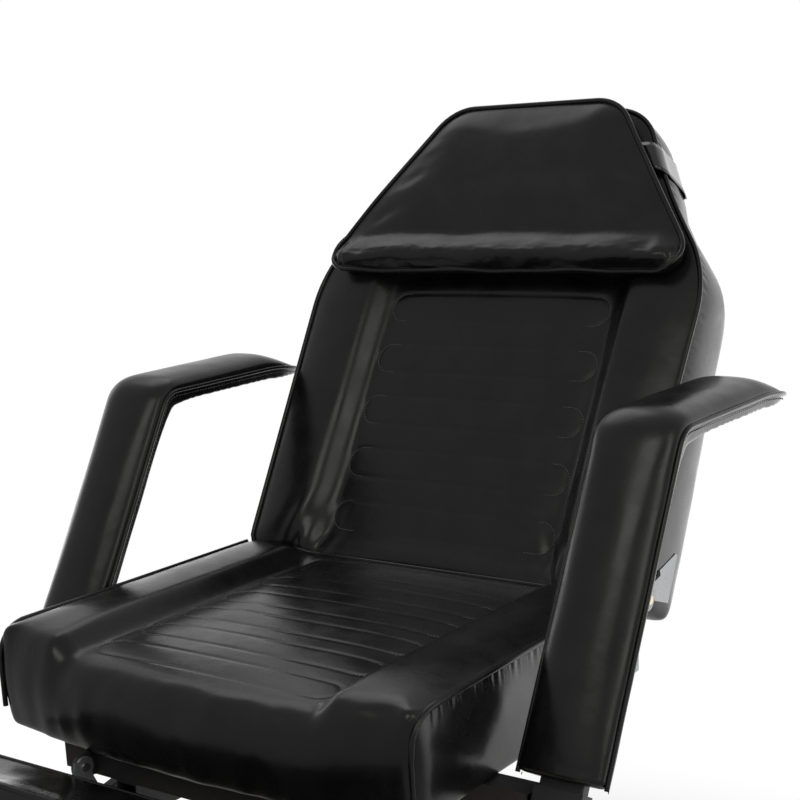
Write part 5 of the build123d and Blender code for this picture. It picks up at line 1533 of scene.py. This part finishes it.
class CHAIR_OT_arms(bpy.types.Operator):
    """Makes the two armrest pads with their piping and seam stitches"""

    bl_idname = "chair.arm_pads"
    bl_label = "Armrest Pads"

    def execute(self, context):
        for side, word in ((-1, "left"), (1, "right")):
            piece, seams = arm_pad(side, word)
            arm_gathers(piece, side)
            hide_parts(f"arm_pad_{word}")
            piping(f"arm_piping_{word}", [(arm_piping_path(seams), False)], ARM_PIPING, f"arm_{word}")
            rows = [(row, False) for row in arm_stitch_rows(seams)]
            stitches(f"arm_stitches_{word}", rows, f"arm_{word}", ARM_STITCH_PITCH)
        return {"FINISHED"}


# Frame finishes
class CHAIR_OT_frame(bpy.types.Operator):
    """Gives every piece of the metal, wood and rubber frame its finish"""

    bl_idname = "chair.frame_finish"
    bl_label = "Frame Finishes"

    def execute(self, context):
        slots = {entry["node"]: entry["material_slot"] for entry in frame["record"]["subparts"]}
        for name, node in frame["nodes"].items():
            node.data.materials.clear()
            node.data.materials.append(material(slots[name]))
        return {"FINISHED"}


# Studio
CAMERA_PLACE = (1.1534, -1.3545, 1.1798)
CAMERA_LOOK = Vector((-0.5961, 0.7830, -0.1775))
CAMERA_RIGHT = Vector((0.8008, 0.5957, -0.0616))
FOCAL_PIXELS, FRAME_PIXELS, SENSOR = 1589.85, 800.0, 36.0
CENTRE_PIXELS = (401.55, 413.45)
SKY_BANDS = ((0.00, 1.2), (0.10, 1.0), (0.20, 0.95), (0.35, 0.9), (0.60, 0.6), (1.00, 0.5))
SKY_FRONT, SKY_TURN = 0.33, 0.85
FLOOR_SIZE, FLOOR_SHADOW = 14.0, (0.45, 1.15)
# Painted light: strength of the far floor's glow as seen in reflections, from in front of the chair to behind
# it
FLOOR_REFLECTED_GLOW, FLOOR_REFLECTED_GLOW_END = (0.3, 1.9), 2.0
LEFT_BOX_SHARE = 0.33
WHITE, WARM = (1.0, 1.0, 1.0), (1.0, 0.99, 0.94)


def sky():
    """Room light: white to the camera and behind glass, even on matt surfaces and graded in reflections."""
    world = bpy.data.worlds.new("Studio")
    bpy.context.scene.world = world
    world.use_nodes = True
    nodes, links = world.node_tree.nodes, world.node_tree.links
    background = nodes["Background"]
    background.inputs["Color"].default_value = (1, 1, 1, 1)
    rays = nodes.new("ShaderNodeLightPath").outputs
    way = nodes.new("ShaderNodeSeparateXYZ")
    links.new(nodes.new("ShaderNodeTexCoord").outputs["Generated"], way.inputs[0])

    # Bands by height behind the chair, which turn to one level in front of it
    bands = nodes.new("ShaderNodeValToRGB")
    brightest = max(1.0, *(level for _, level in SKY_BANDS))
    for up, _ in SKY_BANDS[1:-1]:
        bands.color_ramp.elements.new(up)
    for element, (up, level) in zip(bands.color_ramp.elements, SKY_BANDS):
        element.position = up
        element.color = (*[level / brightest] * 3, 1.0)
    links.new(way.outputs["Z"], bands.inputs["Fac"])
    behind = math_node(nodes, links, "MULTIPLY", bands.outputs["Color"], brightest)
    graded = map_range(nodes, links, way.outputs["Y"], (0.0, SKY_TURN), (SKY_FRONT, behind))

    fill = bpy.context.scene.chair_stage.fill_level
    lit = mixed(nodes, links, rays["Is Diffuse Ray"], graded, fill)
    seen = math_node(nodes, links, "MAXIMUM", rays["Is Camera Ray"], rays["Is Transmission Ray"])
    links.new(mixed(nodes, links, seen, lit, 1.0), background.inputs["Strength"])


def floor_material():
    """Matt white near the chair, where its shadow falls, and plain white further out, where it also glows in
    the chair's reflections as painted light, dim in front of the chair and brighter than white behind it.
    """
    made, nodes, links, surface = shader("floor_white")
    surface.inputs["Base Color"].default_value = (0.93, 0.93, 0.93, 1)
    surface.inputs["Roughness"].default_value = 0.85
    surface.inputs["Specular IOR Level"].default_value = 0.1
    rays = nodes.new("ShaderNodeLightPath").outputs
    place = nodes.new("ShaderNodeTexCoord").outputs["Object"]
    distance = nodes.new("ShaderNodeVectorMath")
    distance.operation = "LENGTH"
    links.new(place, distance.inputs[0])
    split = nodes.new("ShaderNodeSeparateXYZ")
    links.new(place, split.inputs[0])
    far = map_range(nodes, links, distance.outputs["Value"], FLOOR_SHADOW, (0.0, 1.0), "SMOOTHSTEP")
    # Painted light in reflections: for glossy rays the far floor glows, dim in front of the chair and
    # brighter than white behind it
    gloss = map_range(nodes, links, split.outputs["Y"], (0.0, FLOOR_REFLECTED_GLOW_END), FLOOR_REFLECTED_GLOW)
    glow = nodes.new("ShaderNodeEmission")
    links.new(mixed(nodes, links, rays["Is Glossy Ray"], 1.0, gloss), glow.inputs["Strength"])
    seen = math_node(nodes, links, "MAXIMUM", rays["Is Camera Ray"], rays["Is Transmission Ray"])
    seen = math_node(nodes, links, "MAXIMUM", seen, rays["Is Glossy Ray"])
    white = nodes.new("ShaderNodeMixShader")
    links.new(math_node(nodes, links, "MULTIPLY", far, seen), white.inputs[0])
    links.new(surface.outputs[0], white.inputs[1])
    links.new(glow.outputs[0], white.inputs[2])
    links.new(white.outputs[0], nodes["Material Output"].inputs["Surface"])
    return made


def floor():
    """Pale floor that keeps the chair's shadow and turns pure white further out."""
    shape = bmesh.new()
    bmesh.ops.create_grid(shape, x_segments=8, y_segments=8, size=FLOOR_SIZE)
    mesh = bpy.data.meshes.new("floor")
    shape.to_mesh(mesh)
    shape.free()
    mesh.materials.append(floor_material())
    ground = bpy.data.objects.new("floor", mesh)
    bpy.context.scene.collection.objects.link(ground)


def lamp(name, place, target, width, height, power, colour=WHITE):
    """Rectangular soft box that looks at a target."""
    light = bpy.data.lights.new(name, "AREA")
    light.shape = "RECTANGLE"
    light.size, light.size_y, light.energy = width, height, power
    light.color = colour
    stand = bpy.data.objects.new(name, light)
    bpy.context.scene.collection.objects.link(stand)
    stand.location = place
    stand.rotation_euler = (Vector(target) - Vector(place)).to_track_quat("-Z", "Y").to_euler()
    stand.visible_camera = False


def camera():
    """Camera at the photograph's place, heading, roll and field of view."""
    view = bpy.data.cameras.new("Camera")
    view.sensor_width = SENSOR
    view.lens = FOCAL_PIXELS * SENSOR / FRAME_PIXELS
    view.shift_x = (FRAME_PIXELS / 2 - CENTRE_PIXELS[0]) / FRAME_PIXELS
    view.shift_y = (CENTRE_PIXELS[1] - FRAME_PIXELS / 2) / FRAME_PIXELS
    stand = bpy.data.objects.new("Camera", view)
    bpy.context.scene.collection.objects.link(stand)
    look, right = CAMERA_LOOK.normalized(), CAMERA_RIGHT.normalized()
    up = right.cross(look)
    stand.matrix_world = Matrix.Translation(CAMERA_PLACE) @ Matrix((right, up, -look)).transposed().to_4x4()
    bpy.context.scene.camera = stand


class CHAIR_OT_stage(bpy.types.Operator):
    """Sets up the camera, the floor and the soft studio light"""

    bl_idname = "chair.stage"
    bl_label = "Studio"

    def execute(self, context):
        settings = context.scene.chair_stage
        camera()
        sky()
        floor()
        lamp("Overhead", (-1.3, 0.95, 2.8), (0, 0.2, 0.8), 1.6, 1.2, settings.overhead_power)
        lamp("Front top", (0.3, -1.8, 2.6), (0, 0, 0.8), 1.3, 0.8, settings.front_power, WARM)
        lamp("Right box", (2.1, -0.9, 2.1), (0.2, 0, 0.8), 0.7, 1.6, settings.side_power, WARM)
        lamp("Left box", (-2.5, 0.6, 1.15), (0, 0.2, 0.8), 0.8, 1.0, LEFT_BOX_SHARE * settings.side_power)
        context.scene.view_settings.view_transform = "Standard"
        return {"FINISHED"}


class CHAIR_PT_panel(bpy.types.Panel):
    """Lists the chair's pieces and their settings"""

    bl_idname = "CHAIR_PT_panel"
    bl_label = "Tattoo Chair"
    bl_space_type = "VIEW_3D"
    bl_region_type = "UI"
    bl_category = "Tattoo Chair"

    def draw(self, context):
        for group in (context.scene.chair_padding, context.scene.chair_finish, context.scene.chair_stage):
            box = self.layout.box()
            for name in group.bl_rna.properties.keys():
                if name not in ("rna_type", "name"):
                    box.prop(group, name)
        for operator in OPERATORS:
            self.layout.operator(operator.bl_idname)


OPERATORS = (
    CHAIR_OT_stage, CHAIR_OT_frame, CHAIR_OT_back, CHAIR_OT_seat, CHAIR_OT_leg, CHAIR_OT_pillow,
    CHAIR_OT_strap, CHAIR_OT_arms,
)
CLASSES = (ChairPadding, ChairFinish, ChairStage, *OPERATORS, CHAIR_PT_panel)


def register():
    """Makes the settings, operators and panel known."""
    for item in CLASSES:
        bpy.utils.register_class(item)
    bpy.types.Scene.chair_padding = PointerProperty(type=ChairPadding)
    bpy.types.Scene.chair_finish = PointerProperty(type=ChairFinish)
    bpy.types.Scene.chair_stage = PointerProperty(type=ChairStage)


def unregister():
    """Takes the settings, operators and panel away again."""
    del bpy.types.Scene.chair_stage
    del bpy.types.Scene.chair_finish
    del bpy.types.Scene.chair_padding
    for item in reversed(CLASSES):
        bpy.utils.unregister_class(item)


def main():
    """Builds the whole chair and its stage."""
    register()
    bpy.ops.chair.stage()
    bpy.ops.chair.frame_finish()
    bpy.ops.chair.back_cushion()
    bpy.ops.chair.seat_cushion()
    bpy.ops.chair.leg_cushion()
    bpy.ops.chair.head_pillow()
    bpy.ops.chair.pillow_strap()
    bpy.ops.chair.arm_pads()
    bpy.context.view_layer.update()


if __name__ == "__main__":
    main()
